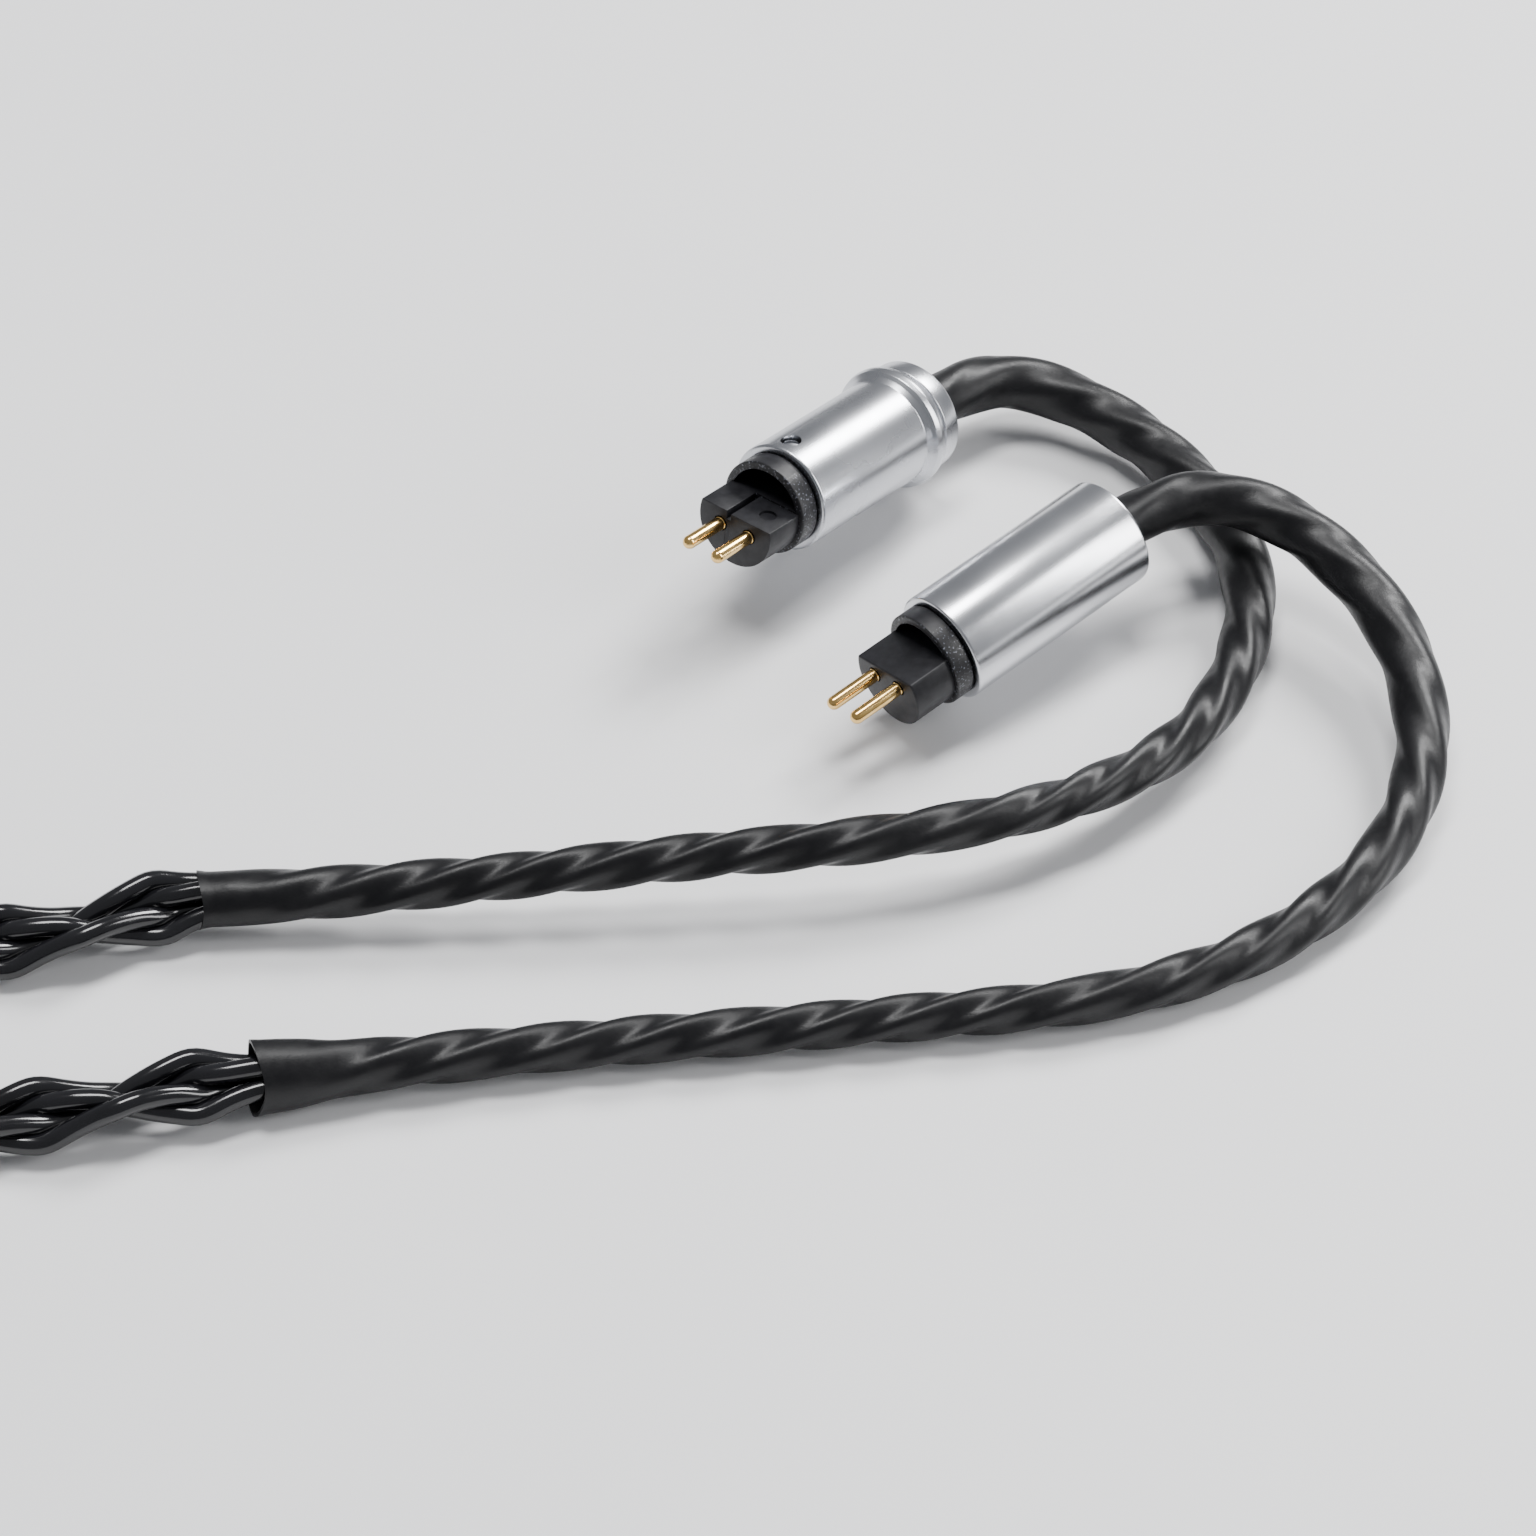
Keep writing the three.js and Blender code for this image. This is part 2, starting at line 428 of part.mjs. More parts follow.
// ---------------------------------------------------------------- plug
// Local frame: +Z along +X of the whole, origin at the rear of the barrel.
const plug = new THREE.Group();
plug.quaternion.setFromRotationMatrix(new THREE.Matrix4().makeBasis(
  new THREE.Vector3(0, -1, 0), new THREE.Vector3(0, 0, -1), new THREE.Vector3(1, 0, 0)));
plug.position.set(PLUG_X, PLUG_Y, PLUG_AXIS_Z);
root.add(plug);
const PB = PLUG_BARREL_LENGTH;
add(plug, 'plug_strain_relief', turned([[MAIN_R + 0.3, -9.5], [3.1, -9.5], [3.8, -0.25], [MAIN_R + 0.3, -0.25]], 20), RUBBER);
add(plug, 'plug_barrel', turned([
  [MAIN_R + 0.3, 0], [PLUG_BARREL_R - 0.3, 0], [PLUG_BARREL_R, 0.3], [PLUG_BARREL_R, PB - 1.5], [PLUG_BARREL_R - 0.6, PB],
  [2.1, PB], [2.1, PB - 1.2], [3.4, PB - 1.2], [3.4, 1.2], [MAIN_R + 0.3, 1.2]], 24), ALUMINIUM);
add(plug, 'plug_potting', discOf(3.15, 3.4, PB - 5.5, 16), POTTING);
// contacts: sleeve with its flange inside the barrel, ring and tip, parted by insulators
add(plug, 'plug_sleeve', turned([[1.0, PB - 4.6], [3.1, PB - 4.6], [3.1, PB - 1.4], [PLUG_PIN_R, PB - 1.4], [PLUG_PIN_R, PB + 6.6], [1.0, PB + 6.6]], 16), GOLD);
add(plug, 'plug_ring_insulator', ringOf(PLUG_PIN_R - 0.05, 0.8, PB + 6.75, PB + 7.35, 16), BLACK_PLASTIC);
add(plug, 'plug_ring', ringOf(PLUG_PIN_R, 0.8, PB + 7.5, PB + 9.6, 16), GOLD);
add(plug, 'plug_tip_insulator', ringOf(PLUG_PIN_R - 0.05, 0.8, PB + 9.75, PB + 10.35, 16), BLACK_PLASTIC);
add(plug, 'plug_tip', turned([[0, PB - 4.6], [0.55, PB - 4.6], [0.55, PB + 10.5], [PLUG_PIN_R, PB + 10.5], [PLUG_PIN_R, PB + 11.0],
  [1.2, PB + 11.9], [PLUG_PIN_R, PB + 12.8], [1.3, PB + 13.6], [0.6, PB + 14.0], [0, PB + 14.0]], 16), GOLD);

export default root;
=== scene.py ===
"""Looks of the in-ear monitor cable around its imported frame. Lengths in the tables are millimetres in the row frame."""

import math

import bpy
import numpy as np
from mathutils import Matrix, Vector


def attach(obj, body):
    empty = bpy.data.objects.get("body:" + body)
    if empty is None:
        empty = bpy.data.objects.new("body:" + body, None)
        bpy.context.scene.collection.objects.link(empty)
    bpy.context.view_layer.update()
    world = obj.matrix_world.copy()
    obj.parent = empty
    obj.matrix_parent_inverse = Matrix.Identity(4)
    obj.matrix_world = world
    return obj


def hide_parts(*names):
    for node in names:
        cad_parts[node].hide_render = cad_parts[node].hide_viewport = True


MM = 0.001

# ------------------------------------------------------------------ routes and sizes
HOOK_LEFT = [
    (2.4, 19.47, 4.82), (3.33, 20.64, 4.59), (4.27, 21.8, 4.37), (5.22, 22.95, 4.14), (6.2, 24.08, 3.9),
    (7.23, 25.15, 3.66), (8.37, 26.11, 3.41), (9.66, 26.83, 3.15), (11.12, 27.11, 2.91), (12.59, 26.89, 2.69),
    (13.98, 26.34, 2.5), (15.29, 25.61, 2.33), (16.52, 24.73, 2.17), (17.65, 23.74, 2.04), (18.68, 22.64, 1.94),
    (19.63, 21.48, 1.84), (20.51, 20.25, 1.77), (21.31, 18.97, 1.7), (22.03, 17.64, 1.66), (22.62, 16.25, 1.63),
    (23.08, 14.82, 1.62), (23.39, 13.34, 1.62), (23.56, 11.84, 1.62), (23.6, 10.33, 1.62), (23.52, 8.82, 1.64),
    (23.33, 7.32, 1.67), (23.03, 5.84, 1.72), (22.63, 4.39, 1.8), (22.14, 2.97, 1.9), (21.57, 1.57, 2.01),
    (20.92, 0.21, 2.14), (20.19, -1.11, 2.27), (19.37, -2.36, 2.4), (18.44, -3.54, 2.54), (17.41, -4.64, 2.68),
    (16.3, -5.66, 2.83), (15.13, -6.6, 2.97), (13.9, -7.46, 3.12), (12.62, -8.25, 3.25), (11.3, -8.98, 3.38),
    (9.94, -9.63, 3.51), (8.55, -10.21, 3.61), (7.13, -10.72, 3.7), (5.69, -11.16, 3.78), (4.23, -11.55, 3.83),
    (2.76, -11.89, 3.88), (1.28, -12.18, 3.9), (-0.21, -12.42, 3.9), (-1.71, -12.61, 3.89), (-3.21, -12.77, 3.85),
    (-4.71, -12.9, 3.8), (-6.22, -13.03, 3.73), (-7.72, -13.16, 3.64), (-9.22, -13.29, 3.55), (-10.73, -13.41, 3.44),
    (-12.23, -13.53, 3.33), (-13.73, -13.64, 3.21), (-15.23, -13.76, 3.1), (-16.73, -13.86, 2.98), (-18.24, -13.96, 2.87),
    (-19.74, -14.05, 2.75), (-21.24, -14.13, 2.63), (-22.75, -14.21, 2.52), (-24.25, -14.29, 2.41), (-25.76, -14.35, 2.3),
    (-27.27, -14.4, 2.2), (-28.77, -14.45, 2.1), (-30.28, -14.49, 2.02), (-31.79, -14.53, 1.94), (-33.3, -14.56, 1.87),
]
HOOK_RIGHT = [
    (12.58, 8.06, 5.15), (13.71, 9.01, 5.32), (14.86, 9.95, 5.49), (16.02, 10.88, 5.64), (17.23, 11.74, 5.74),
    (18.52, 12.48, 5.79), (19.91, 13.02, 5.78), (21.37, 13.25, 5.72), (22.85, 13.1, 5.6), (24.25, 12.63, 5.43),
    (25.54, 11.91, 5.21), (26.7, 11.02, 4.96), (27.74, 9.99, 4.69), (28.68, 8.87, 4.41), (29.52, 7.67, 4.12),
    (30.25, 6.4, 3.85), (30.85, 5.06, 3.58), (31.32, 3.67, 3.34), (31.64, 2.23, 3.11), (31.85, 0.77, 2.9),
    (31.94, -0.7, 2.7), (31.92, -2.18, 2.53), (31.77, -3.66, 2.36), (31.49, -5.11, 2.22), (31.09, -6.54, 2.09),
    (30.57, -7.94, 1.98), (29.93, -9.28, 1.88), (29.19, -10.57, 1.8), (28.34, -11.79, 1.73), (27.4, -12.95, 1.67),
    (26.38, -14.03, 1.61), (25.29, -15.04, 1.55), (24.14, -15.99, 1.49), (22.94, -16.88, 1.44), (21.69, -17.7, 1.42),
    (20.41, -18.45, 1.41), (19.08, -19.12, 1.42), (17.71, -19.72, 1.42), (16.32, -20.24, 1.42), (14.9, -20.69, 1.42),
    (13.45, -21.07, 1.42), (12, -21.38, 1.42), (10.53, -21.64, 1.42), (9.05, -21.85, 1.42), (7.57, -22.04, 1.42),
    (6.09, -22.2, 1.42), (4.61, -22.37, 1.42), (3.13, -22.53, 1.42), (1.65, -22.71, 1.42), (0.17, -22.89, 1.42),
    (-1.31, -23.06, 1.42), (-2.79, -23.23, 1.42), (-4.28, -23.4, 1.42), (-5.76, -23.56, 1.42), (-7.24, -23.72, 1.42),
    (-8.72, -23.87, 1.42), (-10.2, -24.04, 1.42), (-11.69, -24.2, 1.42), (-13.16, -24.38, 1.43), (-14.64, -24.57, 1.44),
    (-16.12, -24.77, 1.46), (-17.59, -24.99, 1.49), (-19.07, -25.22, 1.53), (-20.54, -25.45, 1.57), (-22.01, -25.7, 1.61),
    (-23.48, -25.94, 1.65), (-24.95, -26.19, 1.68), (-26.42, -26.44, 1.72), (-27.88, -26.71, 1.76), (-29.35, -26.98, 1.82),
]
LEAD_LEFT = [
    (-27.29, -14.39, 2.21), (-30.28, -14.49, 2.03), (-33.25, -14.79, 1.91), (-36.14, -15.57, 1.86), (-38.99, -16.48, 1.87),
    (-41.91, -17.18, 1.87), (-44.85, -17.75, 1.86), (-47.78, -18.36, 1.84), (-50.69, -19.06, 1.83), (-53.59, -19.84, 1.82),
    (-56.47, -20.66, 1.83), (-59.34, -21.5, 1.84), (-62.23, -22.3, 1.86), (-65.14, -22.99, 1.87), (-68.11, -23.37, 1.86),
    (-71.09, -23.13, 1.84), (-74, -22.4, 1.81), (-76.88, -21.59, 1.84), (-79.75, -20.75, 1.96), (-82.61, -19.86, 2.14),
    (-85.47, -19, 2.35), (-88.37, -18.28, 2.54), (-91.32, -17.79, 2.67), (-94.31, -17.57, 2.72), (-97.3, -17.64, 2.68),
    (-100.27, -17.97, 2.56), (-103.21, -18.54, 2.37), (-106.11, -19.27, 2.16), (-108.98, -20.07, 1.98), (-111.88, -20.84, 1.86),
    (-114.83, -21.32, 1.84), (-117.82, -21.2, 1.87), (-120.66, -20.26, 1.88), (-123.06, -18.51, 1.87), (-124.6, -15.96, 1.87),
    (-124.85, -13, 1.87), (-123.78, -10.23, 1.87), (-121.65, -8.15, 1.88), (-118.89, -7, 1.87), (-115.92, -6.81, 1.85),
    (-112.99, -7.41, 1.85), (-110.18, -8.45, 1.93), (-107.43, -9.62, 2.09), (-104.66, -10.75, 2.29), (-101.84, -11.74, 2.48),
    (-98.95, -12.49, 2.64), (-95.99, -12.95, 2.72), (-93, -13.11, 2.71), (-90.01, -12.97, 2.6), (-87.05, -12.54, 2.41),
    (-84.14, -11.88, 2.17), (-81.27, -11.04, 1.96), (-78.44, -10.09, 1.85), (-75.63, -9.04, 1.83), (-72.89, -7.84, 1.86),
    (-70.26, -6.4, 1.91), (-67.86, -4.61, 1.98), (-65.85, -2.41, 2.06), (-64.33, 0.17, 2.19), (-63.47, 3.02, 2.37),
    (-63.27, 6, 2.59), (-63.83, 8.93, 2.85), (-65.05, 11.64, 3.13), (-66.88, 13.98, 3.43), (-69.19, 15.87, 3.72),
    (-71.82, 17.25, 4), (-74.67, 18.13, 4.27), (-77.62, 18.6, 4.5), (-80.6, 18.79, 4.68), (-83.59, 18.84, 4.78),
    (-86.59, 18.84, 4.81), (-89.59, 18.84, 4.82), (-92.58, 18.84, 4.82), (-95.58, 18.84, 4.82), (-98.57, 18.84, 4.82),
    (-101.57, 18.84, 4.82), (-104.56, 18.84, 4.82), (-107.56, 18.84, 4.82), (-110.56, 18.84, 4.82), (-113.55, 18.84, 4.82),
]
LEAD_RIGHT = [
    (-23.44, -25.94, 1.64), (-26.39, -26.45, 1.73), (-29.34, -27.01, 1.8), (-32.27, -27.64, 1.85), (-35.2, -28.32, 1.87),
    (-38.12, -28.96, 1.87), (-41.07, -29.54, 1.87), (-44.03, -30, 1.86), (-47.01, -30.34, 1.84), (-50.01, -30.5, 1.83),
    (-53.01, -30.48, 1.82), (-56, -30.29, 1.83), (-58.98, -29.96, 1.84), (-61.95, -29.53, 1.85), (-64.9, -29.02, 1.87),
    (-67.85, -28.45, 1.87), (-70.78, -27.82, 1.85), (-73.7, -27.11, 1.82), (-76.6, -26.36, 1.82), (-79.48, -25.54, 1.88),
    (-82.34, -24.66, 2.03), (-85.2, -23.76, 2.23), (-88.08, -22.96, 2.46), (-91.02, -22.36, 2.64), (-94, -22.07, 2.72),
    (-97, -22.11, 2.68), (-99.97, -22.47, 2.54), (-102.9, -23.08, 2.32), (-105.79, -23.85, 2.1), (-108.67, -24.66, 1.93),
    (-111.58, -25.36, 1.85), (-114.56, -25.77, 1.84), (-117.55, -25.72, 1.86), (-120.48, -25.1, 1.88), (-123.22, -23.9, 1.88),
    (-125.64, -22.13, 1.88), (-127.55, -19.83, 1.87), (-128.81, -17.12, 1.87), (-129.28, -14.16, 1.87), (-128.93, -11.19, 1.87),
    (-127.8, -8.43, 1.87), (-125.98, -6.05, 1.87), (-123.62, -4.21, 1.88), (-120.89, -2.98, 1.88), (-117.96, -2.4, 1.86),
    (-114.96, -2.44, 1.84), (-112.03, -3.04, 1.84), (-109.19, -4, 1.9), (-106.42, -5.15, 2.04), (-103.66, -6.31, 2.24),
    (-100.86, -7.34, 2.46), (-97.96, -8.12, 2.64), (-95, -8.54, 2.72), (-92, -8.61, 2.68), (-89.02, -8.32, 2.5),
    (-86.09, -7.74, 2.24), (-83.22, -6.93, 2), (-80.37, -6, 1.86), (-77.55, -4.97, 1.83), (-74.8, -3.78, 1.86),
    (-72.18, -2.33, 1.93), (-69.9, -0.39, 2.03), (-68.3, 2.12, 2.21), (-67.65, 5.02, 2.51), (-68.12, 7.94, 2.9),
    (-69.64, 10.48, 3.34), (-71.92, 12.35, 3.77), (-74.65, 13.52, 4.15), (-77.58, 14.08, 4.46), (-80.56, 14.29, 4.67),
    (-83.56, 14.34, 4.78), (-86.56, 14.35, 4.81), (-89.56, 14.34, 4.82), (-92.56, 14.34, 4.82), (-95.55, 14.34, 4.82),
    (-98.55, 14.34, 4.82), (-101.55, 14.34, 4.82), (-104.55, 14.34, 4.82), (-107.55, 14.34, 4.82), (-110.55, 14.34, 4.82),
    (-113.55, 14.34, 4.82),
]

LEFT = dict(rim=(-2.932, 12.815, 6.12), axis=(-0.61802, -0.77162, 0.1505), lateral=(0.78195, -0.62313, 0.01623),
            length=12.62, ring=1.4, shelf=0.72, tongue=4.0, pin_height=-0.28, tip=7.1)
RIGHT = dict(rim=(5.932, 2.474, 4.12), axis=(-0.76039, -0.6387, -0.11772), lateral=(0.61171, -0.76523, 0.20057),
             length=12.74, ring=1.25, shelf=1.05, tongue=3.9, pin_height=0.3, tip=7.25)
SPLIT = (-111.55, 16.59, 4.82)
LEAD_SPACING = 4.5
COIL = (-165.05, -7.91)
COIL_R = 24.5
COIL_MID_Z = 6.6
COIL_PACK_R = 3.74      # circle that the turns' cross-sections sit on
COIL_TURNS = 4.5
COIL_TIE_ANGLE = 205.0
TIE_X, TIE_Y0, TIE_Y1, TIE_Z1 = -94.55, -24.91, -5.71, 5.4
PLUG = (-125.55, -32.41, 4.1)
PLUG_BARREL = 17.0

# ------------------------------------------------------------------ frame and camera
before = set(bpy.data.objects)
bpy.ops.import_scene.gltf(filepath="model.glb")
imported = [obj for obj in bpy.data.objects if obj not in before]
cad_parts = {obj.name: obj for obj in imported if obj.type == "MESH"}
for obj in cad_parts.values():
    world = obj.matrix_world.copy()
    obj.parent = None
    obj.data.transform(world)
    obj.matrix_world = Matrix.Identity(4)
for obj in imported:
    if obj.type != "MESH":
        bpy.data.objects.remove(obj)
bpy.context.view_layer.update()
scene = bpy.context.scene

ELEVATION = math.radians(44.0)
TARGET = Vector((-3.551, -2.609, -0.08)) * MM
DISTANCE = 0.233
cam = bpy.data.cameras.new("camera")
cam.lens, cam.sensor_width = 100.0, 36.0
cam.clip_start, cam.clip_end = 0.01, 20.0
camera = bpy.data.objects.new("camera", cam)
scene.collection.objects.link(camera)
camera.rotation_euler = (math.pi / 2 - ELEVATION, 0.0, 0.0)
camera.location = TARGET - Vector((0.0, math.cos(ELEVATION), -math.sin(ELEVATION))) * DISTANCE
scene.camera = camera


# ------------------------------------------------------------------ materials
def rgba(c):
    return (c[0], c[1], c[2], 1.0)


class Mat:
    """A Principled material with small helpers for procedural detail."""

    def __init__(self, name, color, rough, metallic=0.0, **sockets):
        self.m = bpy.data.materials.new(name)
        self.m.use_nodes = True
        self.t = self.m.node_tree
        self.b = self.t.nodes["Principled BSDF"]
        self.b.inputs["Base Color"].default_value = rgba(color)
        self.b.inputs["Roughness"].default_value = rough
        self.b.inputs["Metallic"].default_value = metallic
        for k, v in sockets.items():
            self.b.inputs[k.replace("_", " ")].default_value = v
        self.coord = self.node("ShaderNodeTexCoord")
        self.last_bump = None

    def node(self, kind, **values):
        n = self.t.nodes.new(kind)
        for k, v in values.items():
            setattr(n, k, v)
        return n

    def link(self, a, b):
        self.t.links.new(a, b)

    def mapped(self, scale):
        m = self.node("ShaderNodeMapping")
        m.inputs["Scale"].default_value = scale
        self.link(self.coord.outputs["Object"], m.inputs["Vector"])
        return m.outputs["Vector"]

    def noise(self, scale, detail=3.0, stretch=(1, 1, 1), rough=0.55, distortion=0.0):
        n = self.node("ShaderNodeTexNoise")
        n.inputs["Scale"].default_value = scale
        n.inputs["Detail"].default_value = detail
        n.inputs["Roughness"].default_value = rough
        n.inputs["Distortion"].default_value = distortion
        self.link(self.mapped(stretch), n.inputs["Vector"])
        return n.outputs["Fac"]

    def ramp(self, fac, stops):
        r = self.node("ShaderNodeValToRGB")
        while len(r.color_ramp.elements) < len(stops):
            r.color_ramp.elements.new(0.5)
        for e, (p, c) in zip(r.color_ramp.elements, stops):
            e.position = p
            e.color = rgba(c) if hasattr(c, "__len__") else (c, c, c, 1.0)
        self.link(fac, r.inputs["Fac"])
        return r.outputs["Color"]

    def rough_from(self, fac, low, high, a=0.3, b=0.7):
        r = self.node("ShaderNodeMapRange")
        r.inputs["From Min"].default_value, r.inputs["From Max"].default_value = a, b
        r.inputs["To Min"].default_value, r.inputs["To Max"].default_value = low, high
        self.link(fac, r.inputs["Value"])
        self.link(r.outputs["Result"], self.b.inputs["Roughness"])

    def color_from(self, fac, stops):
        self.link(self.ramp(fac, stops), self.b.inputs["Base Color"])

    def bump(self, fac, strength, distance):
        n = self.node("ShaderNodeBump")
        n.inputs["Strength"].default_value = strength
        n.inputs["Distance"].default_value = distance
        self.link(fac, n.inputs["Height"])
        if self.last_bump:
            self.link(self.last_bump, n.inputs["Normal"])
        self.last_bump = n.outputs["Normal"]
        self.link(self.last_bump, self.b.inputs["Normal"])


def metal(name, color, low, high, line_scale=9000, line=0.05):
    """Turned metal: fine rings round local Z, cloudy roughness, a slight tone change."""
    m = Mat(name, color, low, 1.0)
    m.rough_from(m.noise(260, 3), low, high)
    dark = tuple(v * 0.95 for v in color)
    m.color_from(m.noise(140, 4), [(0.35, dark), (0.65, color)])
    m.bump(m.noise(1, 2, (60, 60, line_scale)), line, 0.00003)
    m.bump(m.noise(5200, 2), 0.03, 0.00002)
    return m.m


ALU = metal("satin_aluminium", (0.70, 0.71, 0.74), 0.21, 0.26)
ALU_SATIN = metal("brushed_aluminium", (0.56, 0.57, 0.60), 0.25, 0.29)
ALU_DARK = metal("anodised_trim", (0.62, 0.63, 0.66), 0.24, 0.34, line=0.1)
STEEL = metal("screw_steel", (0.42, 0.43, 0.46), 0.25, 0.38, 4000, 0.1)
_m = Mat("gold_plating", (0.93, 0.62, 0.24), 0.2, 1.0)
_m.color_from(_m.noise(900, 3), [(0.35, (0.86, 0.55, 0.19)), (0.65, (0.96, 0.66, 0.27))])
_m.rough_from(_m.noise(1400, 3), 0.15, 0.20)
GOLD = _m.m

_m = Mat("core_grain_and_painted_glints", (0.012, 0.012, 0.014), 0.42)
_g = _m.noise(7600, 1, rough=0.5)
# The same noise is real grain in the bump and roughness, and its bright specks in the colour are painted glints.
_m.color_from(_g, [(0.40, (0.005, 0.005, 0.006)), (0.62, (0.012, 0.012, 0.015)), (0.74, (0.16, 0.17, 0.20))])
_m.rough_from(_g, 0.46, 0.30, 0.4, 0.7)
_m.bump(_g, 0.18, 0.00004)
_m.b.inputs["Specular IOR Level"].default_value = 0.4
CORE = _m.m

_m = Mat("core_smooth", (0.03, 0.031, 0.036), 0.42)
_g = _m.noise(2200, 3)
_m.color_from(_g, [(0.35, (0.007, 0.007, 0.009)), (0.65, (0.013, 0.013, 0.016))])
_m.b.inputs["Specular IOR Level"].default_value = 0.35
_m.rough_from(_m.noise(900, 3), 0.40, 0.52)
_m.bump(_m.noise(9000, 3), 0.12, 0.00003)
CORE_SMOOTH = _m.m

_m = Mat("shrink_sleeve", (0.012, 0.012, 0.014), 0.35)
_g = _m.noise(6500, 4, rough=0.65)
_m.color_from(_m.noise(420, 4), [(0.3, (0.004, 0.004, 0.005)), (0.7, (0.009, 0.009, 0.010))])
_m.rough_from(_m.noise(1500, 4), 0.33, 0.46)
_m.b.inputs["Specular IOR Level"].default_value = 0.29
_m.bump(_g, 0.22, 0.00005)
_m.bump(_m.noise(700, 3), 0.10, 0.00012)
SLEEVE = _m.m

_m = Mat("wire_jacket", (0.006, 0.006, 0.007), 0.14)
_m.b.inputs["Specular IOR Level"].default_value = 0.6
_m.color_from(_m.noise(300, 3), [(0.3, (0.004, 0.004, 0.005)), (0.7, (0.009, 0.009, 0.011))])
_m.rough_from(_m.noise(800, 3), 0.11, 0.2)
_m.bump(_m.noise(2600, 3), 0.05, 0.00004)
WIRE = _m.m

_m = Mat("rubber", (0.02, 0.02, 0.021), 0.65)
_m.color_from(_m.noise(700, 4), [(0.3, (0.014, 0.014, 0.015)), (0.7, (0.028, 0.028, 0.030))])
_m.rough_from(_m.noise(1600, 3), 0.55, 0.75)
_m.bump(_m.noise(8000, 3), 0.2, 0.00004)
RUBBER = _m.m

_m = Mat("potting_resin", (0.03, 0.03, 0.032), 0.35)
_m.color_from(_m.noise(500, 4), [(0.3, (0.02, 0.02, 0.022)), (0.7, (0.05, 0.05, 0.052))])
_m.bump(_m.noise(1500, 3), 0.2, 0.0001)
POTTING = _m.m

_m = Mat("black_band", (0.03, 0.03, 0.03), 0.4)
_m.color_from(_m.noise(900, 3), [(0.3, (0.016, 0.016, 0.018)), (0.7, (0.03, 0.03, 0.033))])
_m.bump(_m.noise(7000, 3), 0.1, 0.00003)
RING_BLACK = _m.m

_m = Mat("strap_weave", (0.03, 0.03, 0.034), 0.85)
_a = _m.node("ShaderNodeTexWave", wave_type="BANDS", bands_direction="X")
_b = _m.node("ShaderNodeTexWave", wave_type="BANDS", bands_direction="Z")
for _w in (_a, _b):
    _w.inputs["Scale"].default_value = 900
    _w.inputs["Distortion"].default_value = 0.8
    _w.inputs["Detail"].default_value = 1.0
    _m.link(_m.coord.outputs["Object"], _w.inputs["Vector"])
_x = _m.node("ShaderNodeMath", operation="MULTIPLY")
_m.link(_a.outputs["Fac"], _x.inputs[0])
_m.link(_b.outputs["Fac"], _x.inputs[1])
_m.color_from(_x.outputs["Value"], [(0.1, (0.012, 0.012, 0.014)), (0.8, (0.05, 0.05, 0.056))])
_m.bump(_x.outputs["Value"], 0.6, 0.00015)
_m.b.inputs["Sheen Weight"].default_value = 0.3
STRAP = _m.m

_m = Mat("floor", (0.80, 0.80, 0.81), 0.55)
_m.color_from(_m.noise(14, 3), [(0.3, (0.78, 0.78, 0.79)), (0.7, (0.82, 0.82, 0.83))])
FLOOR = _m.m


# ------------------------------------------------------------------ mesh helpers
def build(name, verts, faces, mats, body="root", local=None, replaces=(), sharp=38.0, ids=None):
    """Mesh object from millimetre points. local is the piece's own frame, a 4x4 in metres."""
    me = bpy.data.meshes.new(name)
    me.from_pydata([tuple(float(c) * MM for c in v) for v in verts], [], [tuple(int(i) for i in f) for f in faces])
    me.update()
    for m in mats if isinstance(mats, (list, tuple)) else [mats]:
        me.materials.append(m)
    if ids is not None:
        me.polygons.foreach_set("material_index", ids)
    o = bpy.data.objects.new(name, me)
    scene.collection.objects.link(o)
    if local is not None:
        o.matrix_world = local
    shade(me, sharp)
    if body:
        place(o, body, replaces)
    return o


def shade(me, sharp):
    me.shade_smooth()
    me.set_sharp_from_angle(angle=math.radians(sharp))


def place(o, body, replaces=()):
    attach(o, body)
    if replaces:
        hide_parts(*replaces)
    return o


def rounded(points, closed=False, segs=4):
    """Profile points (r, z, fillet radius) with each corner turned into an arc."""
    n, out = len(points), []
    for i, p in enumerate(points):
        r = p[2] if len(p) > 2 else 0.0
        if r <= 0 or (not closed and i in (0, n - 1)):
            out.append((p[0], p[1]))
            continue
        a, b, c = np.array(points[i - 1][:2], float), np.array(p[:2], float), np.array(points[(i + 1) % n][:2], float)
        u, v = a - b, c - b
        lu, lv = np.linalg.norm(u), np.linalg.norm(v)
        u, v = u / lu, v / lv
        half = math.acos(max(-1.0, min(1.0, float(u @ v)))) / 2
        if half < 0.02 or half > math.pi / 2 - 0.02:
            out.append(tuple(b))
            continue
        t = min(r / math.tan(half), 0.49 * lu, 0.49 * lv)
        r = t * math.tan(half)
        mid = (u + v) / np.linalg.norm(u + v)
        centre = b + mid * (r / math.sin(half))
        p0, p1 = b + u * t - centre, b + v * t - centre
        a0, a1 = math.atan2(p0[1], p0[0]), math.atan2(p1[1], p1[0])
        da = (a1 - a0 + math.pi) % (2 * math.pi) - math.pi
        for k in range(segs + 1):
            ang = a0 + da * k / segs
            out.append((centre[0] + r * math.cos(ang), centre[1] + r * math.sin(ang)))
    return out


